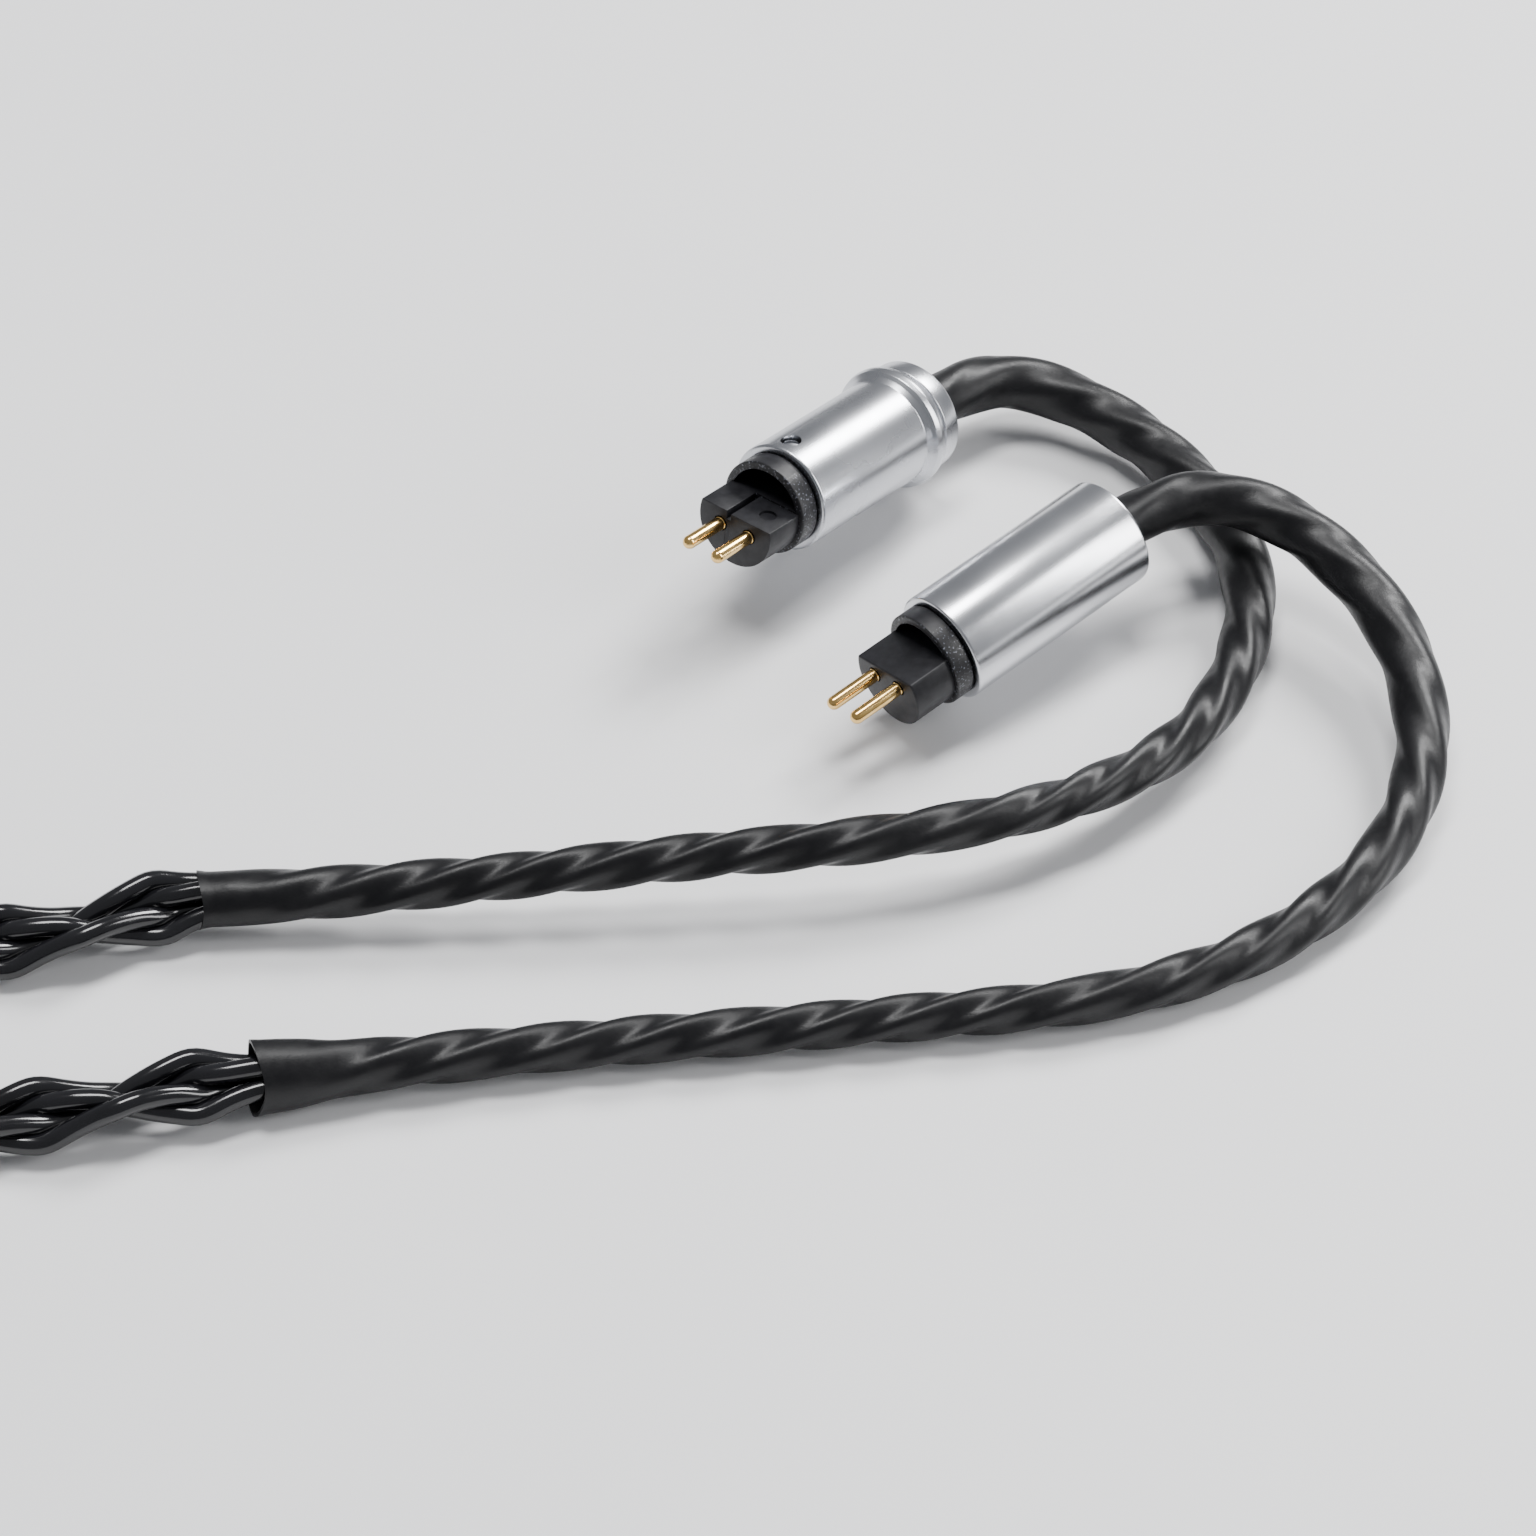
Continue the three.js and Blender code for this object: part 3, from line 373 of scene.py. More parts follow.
def loft(profile, closed=False, sides=96, half=0.0, ripple=None):
    """Turned form about local Z. half stretches the circle to a stadium along X. An open profile starts and ends on the axis."""
    verts, rings, faces = [], [], []
    for k, (r, z) in enumerate(profile):
        if r <= 1e-9 and half == 0.0:
            rings.append([len(verts)])
            verts.append((0.0, 0.0, z))
            continue
        ring = []
        for i in range(sides):
            t = 2 * math.pi * (i + 0.5) / sides
            rr = r if ripple is None else r + ripple(r, z, t)
            ring.append(len(verts))
            verts.append((rr * math.cos(t) + (half if math.cos(t) > 0 else -half), rr * math.sin(t), z))
        rings.append(ring)
    pairs = list(zip(rings[:-1], rings[1:])) + ([(rings[-1], rings[0])] if closed else [])
    for a, b in pairs:
        n = max(len(a), len(b))
        if n == 1:
            continue
        for i in range(n):
            j = (i + 1) % n
            if len(a) == 1:
                faces.append((a[0], b[j], b[i]))
            elif len(b) == 1:
                faces.append((a[i], a[j], b[0]))
            else:
                faces.append((a[i], a[j], b[j], b[i]))
    return verts, orient(verts, faces)


def orient(verts, faces):
    """Faces turned so that the closed form points outwards."""
    v = np.array(verts, float)
    vol = 0.0
    for f in faces:
        for k in range(1, len(f) - 1):
            vol += float(np.dot(v[f[0]], np.cross(v[f[k]], v[f[k + 1]])))
    return faces if vol > 0 else [tuple(reversed(f)) for f in faces]


def grid_faces(n, m, base=0, close_rows=False):
    """Quads of n rings of m points."""
    out = []
    for i in range(n if close_rows else n - 1):
        a, b = base + i * m, base + ((i + 1) % n) * m
        for j in range(m):
            k = (j + 1) % m
            out.append((a + j, a + k, b + k, b + j))
    return out


def even(points, step):
    """Smooth curve through the points, at even steps: points and arc lengths."""
    p = np.array(points, float)
    q = np.vstack([2 * p[0] - p[1], p, 2 * p[-1] - p[-2]])
    t = np.linspace(0, 1, 11)[:-1][:, None]
    out = []
    for i in range(1, len(q) - 2):
        a, b, c, d = q[i - 1], q[i], q[i + 1], q[i + 2]
        out.append(0.5 * (2 * b + (c - a) * t + (2 * a - 5 * b + 4 * c - d) * t**2 + (3 * b - a - 3 * c + d) * t**3))
    r = np.vstack(out + [q[-2][None]])
    s = np.r_[0, np.cumsum(np.linalg.norm(np.diff(r, axis=0), axis=1))]
    n = int(round(s[-1] / step)) + 1
    k = np.linspace(0, s[-1], n)
    return np.stack([np.interp(k, s, r[:, c]) for c in range(3)], 1), k


def frames(p):
    t = np.gradient(p, axis=0)
    t /= np.linalg.norm(t, axis=1)[:, None]
    side = np.cross(t, [0.0, 0.0, 1.0])
    side /= np.linalg.norm(side, axis=1)[:, None]
    return t, np.cross(side, t), side


def wobble(s, seed, waves=((31.0, 0.5), (17.0, 0.3), (9.7, 0.2))):
    """Smooth value from -1 to 1 along s, the same each run."""
    return sum(a * np.sin(2 * math.pi * s / w + seed * 1.7 + i * 2.1) for i, (w, a) in enumerate(waves))


def smoothstep(x):
    x = np.clip(x, 0, 1)
    return x * x * (3 - 2 * x)


def tube(p, radius, sides, verts, faces):
    """Round wire along p with closed, slightly domed ends, added to verts and faces."""
    t, up, side = frames(p)
    base = len(verts)
    ang = 2 * math.pi * np.arange(sides) / sides
    ca, sa = np.cos(ang), np.sin(ang)
    rad = np.full(len(p), radius) if np.isscalar(radius) else radius
    rings = p[:, None, :] + rad[:, None, None] * (ca[None, :, None] * side[:, None, :] + sa[None, :, None] * up[:, None, :])
    verts.extend(map(tuple, rings.reshape(-1, 3)))
    made = grid_faces(len(p), sides, base)
    for ring, centre, k in ((0, p[0] - t[0] * rad[0] * 0.3, 0), (len(p) - 1, p[-1] + t[-1] * rad[-1] * 0.3, 1)):
        c = len(verts)
        verts.append(tuple(centre))
        r = base + ring * sides
        for j in range(sides):
            a, b = r + j, r + (j + 1) % sides
            made.append((c, b, a) if k == 0 else (c, a, b))
    # side x up points against the path, so the rings run the other way round
    faces.extend(tuple(reversed(f)) for f in made)


def apart(x, y, gap):
    """Pushes wires apart in each cross-section until they only touch, and evens them along the run."""
    for rounds, taps in ((16, 17), (12, 13), (12, 9), (8, 7)):
        for _ in range(rounds):
            for i in range(len(x)):
                for j in range(i + 1, len(x)):
                    dx, dy = x[j] - x[i], y[j] - y[i]
                    d = np.maximum(np.hypot(dx, dy), 0.05)
                    push = 0.5 * np.maximum(gap - d, 0.0) / d
                    x[i] -= dx * push
                    y[i] -= dy * push
                    x[j] += dx * push
                    y[j] += dy * push
        kernel = np.hanning(taps + 2)[1:-1]
        kernel /= kernel.sum()
        for rows in (x, y):
            for i in range(len(rows)):
                rows[i] = np.convolve(np.pad(rows[i], taps // 2, mode="edge"), kernel, mode="valid")
    return x, y


def flat_braid(path, phase, wide, high, roll, wire_r, sides=14):
    """Four wires that follow a centre line as a flat braid: each runs from edge to edge, over one, under one, over one.
    phase is the turning angle along the path, wide and high the half width and half height, roll its lean."""
    t, up, side = frames(path)
    c, n = np.cos(roll)[:, None], np.sin(roll)[:, None]
    across, out = c * side + n * up, c * up - n * side
    turns = [phase + k * math.pi / 2 for k in range(4)]
    x, y = apart([wide * (np.cos(a) - 0.05 * np.cos(3 * a)) for a in turns], [high * np.sin(3 * a) for a in turns], 2 * wire_r - 0.03)
    verts, faces = [], []
    for k in range(4):
        p = path + x[k][:, None] * across + y[k][:, None] * out
        low = wire_r + 0.04
        p[:, 2] = np.where(p[:, 2] < low + 0.5, low + 0.5 * np.exp((p[:, 2] - low - 0.5) / 0.5), p[:, 2])
        tube(p, wire_r, sides, verts, faces)
    return verts, faces


# ------------------------------------------------------------------ ear connectors
def connector_frame(spec):
    z = Vector(spec["axis"]).normalized()
    x = Vector(spec["lateral"])
    x = (x - z * x.dot(z)).normalized()
    y = z.cross(x)
    m = Matrix((x, y, z)).transposed().to_4x4()
    m.translation = Vector(spec["rim"]) * MM
    return m


def prism(outline, z0, z1):
    """Closed prism from an XY outline."""
    n = len(outline)
    verts = [(x, y, z0) for x, y in outline] + [(x, y, z1) for x, y in outline]
    faces = [(i, (i + 1) % n, n + (i + 1) % n, n + i) for i in range(n)]
    faces += [tuple(reversed(range(n))), tuple(range(n, 2 * n))]
    return verts, orient(verts, faces)


def cylinder(r, z0, z1, sides=48, at=(0.0, 0.0)):
    out = [(at[0] + r * math.cos(2 * math.pi * i / sides), at[1] + r * math.sin(2 * math.pi * i / sides)) for i in range(sides)]
    return prism(out, z0, z1)


def raw(verts, faces, m=None):
    o = build("tool", verts, faces, [], body=None)
    if m is not None:
        o.data.transform(m)
    return o


def boolean(o, tools, mode):
    """Joins or cuts in place and removes the tools."""
    for tool in tools:
        mod = o.modifiers.new("b", "BOOLEAN")
        mod.operation, mod.solver, mod.object = mode, "EXACT", tool
        bpy.context.view_layer.update()
        dg = bpy.context.evaluated_depsgraph_get()
        me = bpy.data.meshes.new_from_object(o.evaluated_get(dg))
        o.modifiers.clear()
        old, o.data = o.data, me
        bpy.data.meshes.remove(old)
        bpy.data.objects.remove(tool)
    return o


def bevelled(o, width, segs=3, angle=35.0):
    mod = o.modifiers.new("v", "BEVEL")
    mod.width, mod.segments, mod.limit_method, mod.angle_limit = width * MM, segs, "ANGLE", math.radians(angle)
    mod.use_clamp_overlap = True
    bpy.context.view_layer.update()
    dg = bpy.context.evaluated_depsgraph_get()
    me = bpy.data.meshes.new_from_object(o.evaluated_get(dg))
    o.modifiers.clear()
    old, o.data = o.data, me
    bpy.data.meshes.remove(old)
    return o


def turned_to(angle_deg, back):
    """Local +Z turned to lie across the barrel at that angle round it, behind the rim."""
    a = math.radians(angle_deg)
    y = Vector((math.cos(a), math.sin(a), 0.0))
    z = Vector((0.0, 0.0, 1.0))
    x = z.cross(y)
    m = Matrix((x, z, y)).transposed().to_4x4()
    m.translation = Vector((0.0, 0.0, -back * MM))
    return m


def finish_local(o, name, local, mats, replaces, sharp=32.0, ids=None):
    o.name = name
    o.data.name = name
    o.data.materials.clear()
    for m in mats:
        o.data.materials.append(m)
    if ids:
        for p in o.data.polygons:
            p.material_index = ids(p)
    shade(o.data, sharp)
    o.matrix_world = local
    return place(o, "root", replaces)


for side, spec, keyed in (("left", LEFT, True), ("right", RIGHT, False)):
    local = connector_frame(spec)
    L = spec["length"]
    # barrel
    if keyed:
        rear = [(3.35, -L, 0.16), (3.38, -L + 1.28, 0.12), (3.12, -L + 1.36, 0.05), (3.12, -L + 1.5, 0.05), (3.42, -L + 1.56, 0.1),
                (3.66, -L + 1.78, 0.12), (3.7, -L + 2.1, 0.25), (3.62, -L + 2.42, 0.12), (3.42, -L + 2.62, 0.1), (3.2, -L + 2.92, 0.12)]
    else:
        rear = [(3.2, -L, 0.2)]
    front = [(3.2, 0.0, 0.16), (2.65, 0.0, 0.06)]
    profile = rounded([(1.85, -L, 0.12)] + rear + front + [(2.65, -L + 1.0), (1.85, -L + 1.0, 0.1)], closed=True, segs=5)
    v, f = loft(profile, closed=True, sides=128)
    barrel = raw(v, f)
    if keyed:
        cyl = raw(*cylinder(0.6, 2.0, 4.0, 40), m=turned_to(97.0, 1.15))
        boolean(barrel, [cyl], "DIFFERENCE")
    finish_local(barrel, f"{side}_barrel_shell", local, [ALU_SATIN if keyed else ALU], [f"{side}_barrel"], 26.0)
    if keyed:
        # the slotted screw in the hole, its top edge rounded
        v, f = loft(rounded([(0.46, 2.62, 0.05), (0.46, 2.98, 0.12), (0.0, 3.08)][::-1] + [(0.0, 2.62)], segs=3), sides=40)
        screw = raw(v, f)
        boolean(screw, [raw(*prism([(-0.5, -0.08), (0.5, -0.08), (0.5, 0.08), (-0.5, 0.08)], 2.9, 3.3))], "DIFFERENCE")
        screw.data.transform(Matrix.Rotation(math.radians(35), 4, "Z"))
        screw.data.transform(turned_to(97.0, 1.15))
        finish_local(screw, "left_set_screw_slotted", local, [STEEL], ["left_set_screw"], 26.0)

    # insulator
    ring, shelf, tongue = spec["ring"], spec["shelf"], spec["tongue"]
    v, f = loft(rounded([(0.0, -5.0), (2.45, -5.0, 0.1), (2.45, 0.12, 0.03), (2.8, 0.12, 0.06), (2.8, ring, 0.09), (0.0, ring)], segs=4), sides=112)
    core = raw(v, f)
    a0 = math.asin(shelf / 2.5)
    def tongue_piece(x_low, x_high, height, z0, z1, bevel):
        out = []
        for i in range(97):
            t = math.pi - a0 + (math.pi + 2 * a0) * i / 96
            out.append((2.5 * math.cos(t), min(2.5 * math.sin(t), height)))
        piece = raw(*prism(out, z0, z1))
        keep = raw(*prism([(x_low, -4), (x_high, -4), (x_high, 4), (x_low, 4)], z0 - 1, z1 + 1))
        boolean(piece, [keep], "INTERSECT")
        return bevelled(piece, bevel, 3, 40.0)
    if keyed:
        boolean(core, [tongue_piece(-4, -0.62, shelf + 0.0, 0.0, tongue, 0.07)], "UNION")
        boolean(core, [tongue_piece(-0.32, 4, shelf - 0.12, 0.0, tongue, 0.07)], "UNION")
        boolean(core, [tongue_piece(-1.2, 0.5, shelf - 0.55, 0.0, tongue - 0.02, 0.02)], "UNION")
    else:
        boolean(core, [tongue_piece(-4, 4, shelf, 0.0, tongue, 0.1)], "UNION")
    recess = []
    for i in range(65):
        b0 = math.asin((shelf + 0.002) / 2.35)
        t = b0 + (math.pi - 2 * b0) * i / 64
        recess.append((2.35 * math.cos(t), 2.35 * math.sin(t)))
    boolean(core, [raw(*prism(recess, -1.0, ring + 1.0))], "DIFFERENCE")
    for sgn in (-1, 1):
        boolean(core, [raw(*cylinder(0.46, -6.0, tongue + 1.0, 32, (sgn * 1.0, spec["pin_height"])))], "DIFFERENCE")
    if keyed:
        dimple = raw(*cylinder(0.5, -0.16, 1.0, 40))
        dimple.data.transform(Matrix.Translation(Vector((1.2, shelf - 0.12, 2.6)) * MM) @ Matrix.Rotation(-math.pi / 2, 4, "X"))
        boolean(core, [dimple], "DIFFERENCE")

    def shelf_face(p, shelf=shelf, ring=ring):
        c = p.center
        return 1 if (c.z > (ring + 0.01) * MM or abs(p.normal.y) > 0.9 and c.z > -0.9 * MM and c.y > 0.2 * MM) else 0
    finish_local(core, f"{side}_insulator_core", local, [CORE, CORE_SMOOTH], [f"{side}_insulator"], 30.0, shelf_face)

    # pins with a round tip, a fine ring where they leave the tongue, and a solder cup behind
    for n, sgn in ((1, -1), (2, 1)):
        tip = spec["tip"]
        arc = [(0.39 * math.cos(t), tip - 0.39 + 0.39 * math.sin(t)) for t in np.linspace(0, math.pi / 2, 9)]
        arc[-1] = (0.0, tip)
        body = [(0.0, -7.0), (0.5, -7.0), (0.55, -6.95), (0.55, -5.35), (0.5, -5.3), (0.39, -5.25),
                (0.39, tongue + 0.06), (0.36, tongue + 0.1), (0.36, tongue + 0.2), (0.39, tongue + 0.24)]
        v, f = loft(body + arc, sides=40)
        v = [(x + sgn, y + spec["pin_height"], z) for x, y, z in v]
        build(f"{side}_contact_{n}", v, f, GOLD, "root", local, [f"{side}_pin_{n}"], 30.0)


# ------------------------------------------------------------------ ear hooks
def sleeve(name, points, ends, width, seed, end_axes, replaces):
    """Heat-shrink over four twisted wires: slanted lobes with a steep and a gentle flank, creases, and cut ends."""
    p, s = even(points, 0.22)
    t, up, side = frames(p)
    total = s[-1]
    sides = 72
    th = 2 * math.pi * np.arange(sides) / sides
    lay = 18.4
    turn = 2 * math.pi * (s + 0.5 * wobble(s, seed)) / lay
    base = np.interp(s, [w[0] * total for w in width], [w[1] for w in width])
    base = base * (1 + 0.018 * wobble(s, seed + 3))
    fade = smoothstep((total - s) / 7.0 - 0.15) * smoothstep(s / 3.0)
    # the braid shows less near the connector, where the sleeve is thicker
    firm = np.interp(s / total, [0.0, 0.18, 0.38, 0.55, 1.0], [0.30, 0.42, 0.75, 1.0, 1.0])
    depth = (0.175 + 0.04 * wobble(s, seed + 5)) * fade * firm
    u = ((th[None, :] + turn[:, None]) * 4 / (2 * math.pi)) % 1.0
    # crease at u = 0: steep on one side, a long slope on the other
    g = np.where(u < 0.5, 0.5 * (1 + np.cos(math.pi * np.clip(u / 0.56, 0, 1))), 0.5 * (1 + np.cos(math.pi * np.clip((1 - u) / 0.40, 0, 1))))
    r = base[:, None] * (1 - depth[:, None] * g)
    r += 0.012 * np.sin(th[None, :] * 3 + 2 * s[:, None] / 1.3 + seed) * fade[:, None]
    # the cut end opens out and flattens
    q = smoothstep((s - (total - end_axes[3])) / end_axes[3])
    wide, high, roll = end_axes[0], end_axes[1], math.radians(end_axes[2])
    ell = 1 / np.sqrt((np.cos(th - roll) / high) ** 2 + (np.sin(th - roll) / wide) ** 2)
    r = r * (1 - q[:, None]) + ell[None, :] * q[:, None]
    lip = np.exp(-(((total - s) / 0.35) ** 2)) * ends
    r += lip[:, None]
    cut = 0.35 * np.sin(th - 0.8) + 0.12 * np.sin(2 * th + 1.0)   # the cut isn't square
    last = smoothstep((s - (total - 2.0)) / 2.0)
    outer = p[:, None, :] + r[..., None] * (np.cos(th)[None, :, None] * up[:, None, :] + np.sin(th)[None, :, None] * side[:, None, :])
    outer += (last[:, None] * cut[None, :])[..., None] * t[:, None, :]
    outer[..., 2] = np.maximum(outer[..., 2], 0.02)   # flattened where it lies on the floor
    keep = np.r_[np.arange(len(s) - 1, 0, -3), 0]
    ri = np.maximum(r[keep] - 0.17, 0.5)
    inner = p[keep][:, None, :] + ri[..., None] * (np.cos(th)[None, :, None] * up[keep][:, None, :] + np.sin(th)[None, :, None] * side[keep][:, None, :])
    inner += (last[keep][:, None] * cut[None, :])[..., None] * t[keep][:, None, :]
    verts = np.vstack([outer.reshape(-1, 3), inner.reshape(-1, 3)])
    n = len(s) + len(keep)
    faces = orient_fast(verts, grid_faces(n, sides, 0, True))
    return build(name, verts, faces, SLEEVE, "root", None, replaces, 60.0)


def orient_fast(verts, faces):
    v = np.array(verts, float)
    f = np.array(faces)
    a, b, c, d = v[f[:, 0]], v[f[:, 1]], v[f[:, 2]], v[f[:, 3]]
    vol = np.einsum("ij,ij->i", a, np.cross(b, c)).sum() + np.einsum("ij,ij->i", a, np.cross(c, d)).sum()
    return f.tolist() if vol > 0 else f[:, ::-1].tolist()


sleeve("left_shrink_sleeve", HOOK_LEFT, 0.10, [(0, 1.2), (0.035, 1.5), (0.08, 1.64), (0.28, 1.62), (0.42, 1.38), (0.58, 1.27), (0.85, 1.27), (0.93, 1.4), (1, 1.48)],
       1.0, (1.5, 1.42, 0.0, 3.0), ["left_hook_sleeve"])
sleeve("right_shrink_sleeve", HOOK_RIGHT, 0.05, [(0, 1.2), (0.035, 1.42), (0.08, 1.58), (0.3, 1.56), (0.42, 1.36), (0.58, 1.26), (0.85, 1.27), (0.93, 1.38), (1, 1.5)],
       2.3, (1.62, 1.95, 25.0, 6.0), ["right_hook_sleeve"])

for side, points in (("left", HOOK_LEFT), ("right", HOOK_RIGHT)):
    p, s = even(points, 0.8)
    p, s = p[:-9], s[:-9]
    verts, faces = [], []
    t, up, sd = frames(p)
    for k in range(4):
        a = -2 * math.pi * s / 18.4 + k * math.pi / 2
        tube(p + 0.44 * (np.cos(a)[:, None] * up + np.sin(a)[:, None] * sd), 0.28, 8, verts, faces)
    build(f"{side}_hook_strands", verts, faces, WIRE, "root", None, [f"{side}_hook_wires"], 60.0)


# ------------------------------------------------------------------ leads
def lead(name, points, phase0, seed, node, hook):
    p, s = even(points, 0.3)
    p, s = p[15:], s[15:] - s[15]     # starts a little inside the sleeve
    # come out of the middle of the sleeve's mouth
    mouth = np.array(hook[-1], float)
    k = int(np.argmin(np.linalg.norm(p - mouth, axis=1)))
    near = np.where(s < s[k], 1.0, 1 - smoothstep((s - s[k]) / 15.0)) * smoothstep((s - s[k] + 3.0) / 3.0)
    p = p + near[:, None] * (mouth - p[k])
    inside = 1.4                      # runs parallel in the sleeve, then braids
    into = s[-1] - 3.0                # and parallel again in the splitter
    pitch = 16.0 * (1 + 0.07 * wobble(s, seed))
    rate = math.pi / pitch * smoothstep((s - inside) / 2.0) * smoothstep((into - s) / 3.0)
    phase = phase0 + np.r_[0, np.cumsum(0.5 * (rate[1:] + rate[:-1]) * np.diff(s))]
    # end on a quarter turn so that the wires part evenly
    total = phase[-1] - math.pi / 4
    phase = phase0 + (phase - phase0) * ((round(total / (math.pi / 2)) * math.pi / 2 + math.pi / 4 - phase0) / (phase[-1] - phase0))
    spread = smoothstep((s - inside - 0.2) / 4.5) * smoothstep((into - s) / 3.0)
    # straight, even and centred where the slider runs
    free = smoothstep((into - s - 25.0) / 8.0)
    wide = 0.72 + (1.17 - 0.72) * spread + 0.06 * wobble(s, seed + 2) * spread * free - 0.13 * spread * (1 - free)
    high = 0.72 + 0.11 * spread
    roll = 0.30 * wobble(s, seed + 4, ((83.0, 0.6), (47.0, 0.4))) * spread * free
    # the flat braid rests lower than a round one would
    settle = spread * smoothstep((s - inside - 3.0) / 14.0) * smoothstep((into - s - 25.0) / 20.0)
    p = p - np.array([0.0, 0.0, 0.42]) * settle[:, None]
    verts, faces = flat_braid(p, phase, wide, high, roll, 0.55)
    o = build(name, verts, faces, WIRE, "root", None, [node], 60.0)
    return o, p, s


left_braid, left_p, left_s = lead("left_braid", LEAD_LEFT, 0.15, 0.4, "left_lead", HOOK_LEFT)
right_braid, right_p, right_s = lead("right_braid", LEAD_RIGHT, 0.0, 1.9, "right_lead", HOOK_RIGHT)


# ------------------------------------------------------------------ ties
def strap(name, x0, x1, y0, y1, wall, width, corner, local, node):
    """Hook-and-loop strap seen from its edge, in local XY, with a lapped end."""
    def outline(inset):
        out, r = [], max(0.2, corner - inset)
        for cx, cy, st in ((x1 - inset - r, y1 - inset - r, 0), (x0 + inset + r, y1 - inset - r, 90), (x0 + inset + r, y0 + inset + r, 180), (x1 - inset - r, y0 + inset + r, 270)):
            for i in range(9):
                t = math.radians(st + 90 * i / 8)
                out.append((cx + r * math.cos(t), cy + r * math.sin(t)))
        return out
    loops = []
    e = 0.12
    for inset, z in ((0.0, -width / 2 + e), (0.0, width / 2 - e), (e, width / 2), (wall - e, width / 2), (wall, width / 2 - e), (wall, -width / 2 + e), (wall - e, -width / 2), (e, -width / 2)):
        loops.append([(x, y, z) for x, y in outline(inset)])
    m = len(loops[0])
    verts = [v for lp in loops for v in lp]
    faces = orient_fast(verts, grid_faces(len(loops), m, 0, True))
    o = build(name, verts, faces, STRAP, "root", local, [node], 50.0)
    # the lap: the strap's end lies on itself along the top
    lap = []
    for i in range(13):
        x = x0 + corner + (x1 - x0 - 2 * corner) * (0.25 + 0.55 * i / 12)
        lap.append(x)
    lv, th = [], 0.42
    for i, x in enumerate(lap):
        k = min(1.0, 0.25 + 0.75 * min(i, 12 - i) / 2)
        for y, z in ((y1 + 0.01, -width / 2 + 0.3), (y1 + 0.01, width / 2 - 0.3), (y1 + th * k, width / 2 - 0.42), (y1 + th * k, -width / 2 + 0.42)):
            lv.append((x, y, z))
    lf = grid_faces(13, 4, 0)
    lf += [(0, 1, 2, 3), (51, 50, 49, 48)]
    lo = build(name + "_lap", lv, orient(lv, lf), STRAP, "root", local, (), 50.0)
    return o, lo


def edge_on(origin, across, up, along):
    m = Matrix((Vector(across), Vector(up), Vector(along))).transposed().to_4x4()
    m.translation = Vector(origin) * MM
    return m


lead_tie, lead_lap = strap("lead_strap", TIE_Y0, TIE_Y1, 0.02, TIE_Z1, 0.5, 6.0, 1.6,
                           edge_on((TIE_X, 0, 0), (0, 1, 0), (0, 0, 1), (1, 0, 0)), "lead_tie")
_c, _s = math.cos(math.radians(COIL_TIE_ANGLE)), math.sin(math.radians(COIL_TIE_ANGLE))
coil_tie, coil_lap = strap("coil_strap", COIL_R - 7.4, COIL_R + 7.0, 0.02, 13.0, 0.6, 8.0, 2.2,
                           edge_on((COIL[0], COIL[1], 0), (_c, _s, 0), (0, 0, 1), (_s, -_c, 0)), "coil_tie")

# ------------------------------------------------------------------ slider and splitter, local +Z away from the ears
trunk = edge_on(SPLIT, (0, 1, 0), (0, 0, -1), (-1, 0, 0))
H = LEAD_SPACING / 2
s_end, s_len = -1.5, 9.0
prof = rounded([(2.75, s_end - s_len, 0.12), (3.9, s_end - s_len, 0.45), (3.9, s_end - 6.7, 0.05), (3.7, s_end - 6.6, 0.05), (3.7, s_end - 6.0, 0.05), (3.9, s_end - 5.9, 0.05),
                (3.9, s_end - 3.1, 0.05), (3.7, s_end - 3.0, 0.05), (3.7, s_end - 2.4, 0.05), (3.9, s_end - 2.3, 0.05), (3.9, s_end, 0.45), (2.75, s_end, 0.12)], closed=True)
v, f = loft(prof, closed=True, sides=96, half=H)
slider = build("chin_slider_body", v, f, ALU, "slider", trunk, ["chin_slider"], 30.0)
prof = rounded([(2.15, s_end - 8.5, 0.1), (2.7, s_end - 8.5, 0.1), (2.7, s_end - 0.5, 0.1), (2.15, s_end - 0.5, 0.1)], closed=True)
v, f = loft(prof, closed=True, sides=72, half=H)
liner = build("chin_slider_grommet", v, f, RUBBER, "slider", trunk, ["slider_liner"], 40.0)

# front cap: a disc with two holes
v, f = loft(rounded([(0.0, 0.0), (4.8, 0.0, 0.35), (4.8, 2.0, 0.08), (0.0, 2.0)], segs=5), sides=112)
cap = raw(v, f)
for sgn in (-1, 1):
    boolean(cap, [raw(*cylinder(2.1, -1.0, 3.0, 56, (sgn * H, 0.0)))], "DIFFERENCE")
cap.name = cap.data.name = "splitter_face"
cap.data.materials.clear()
cap.data.materials.append(ALU_DARK)
shade(cap.data, 28.0)
cap.matrix_world = trunk
place(cap, "root", ["splitter_front_cap"])

s0, s1 = 2.2, 20.2
# barrel with two fine grooves towards each end
pts = [(4.35, s0, 0.05), (4.8, s0, 0.1)]
for base in (s0 + 1.6, s0 + 2.6, s1 - 3.4, s1 - 2.4):
    pts += [(4.8, base, 0.04), (4.62, base + 0.1, 0.04), (4.62, base + 0.4, 0.04), (4.8, base + 0.5, 0.04)]
pts += [(4.8, s1, 0.1), (4.35, s1, 0.05)]
v, f = loft(rounded(pts, closed=True, segs=3), closed=True, sides=112)
build("splitter_tube", v, f, ALU, "root", trunk, ["splitter_barrel"], 26.0)
v, f = loft(rounded([(2.5, s1 + 0.2, 0.05), (4.8, s1 + 0.2, 0.08), (4.8, s1 + 2.2, 0.4), (2.5, s1 + 2.2, 0.1)], closed=True), closed=True, sides=96)
build("splitter_end", v, f, ALU_DARK, "root", trunk, ["splitter_rear_cap"], 28.0)
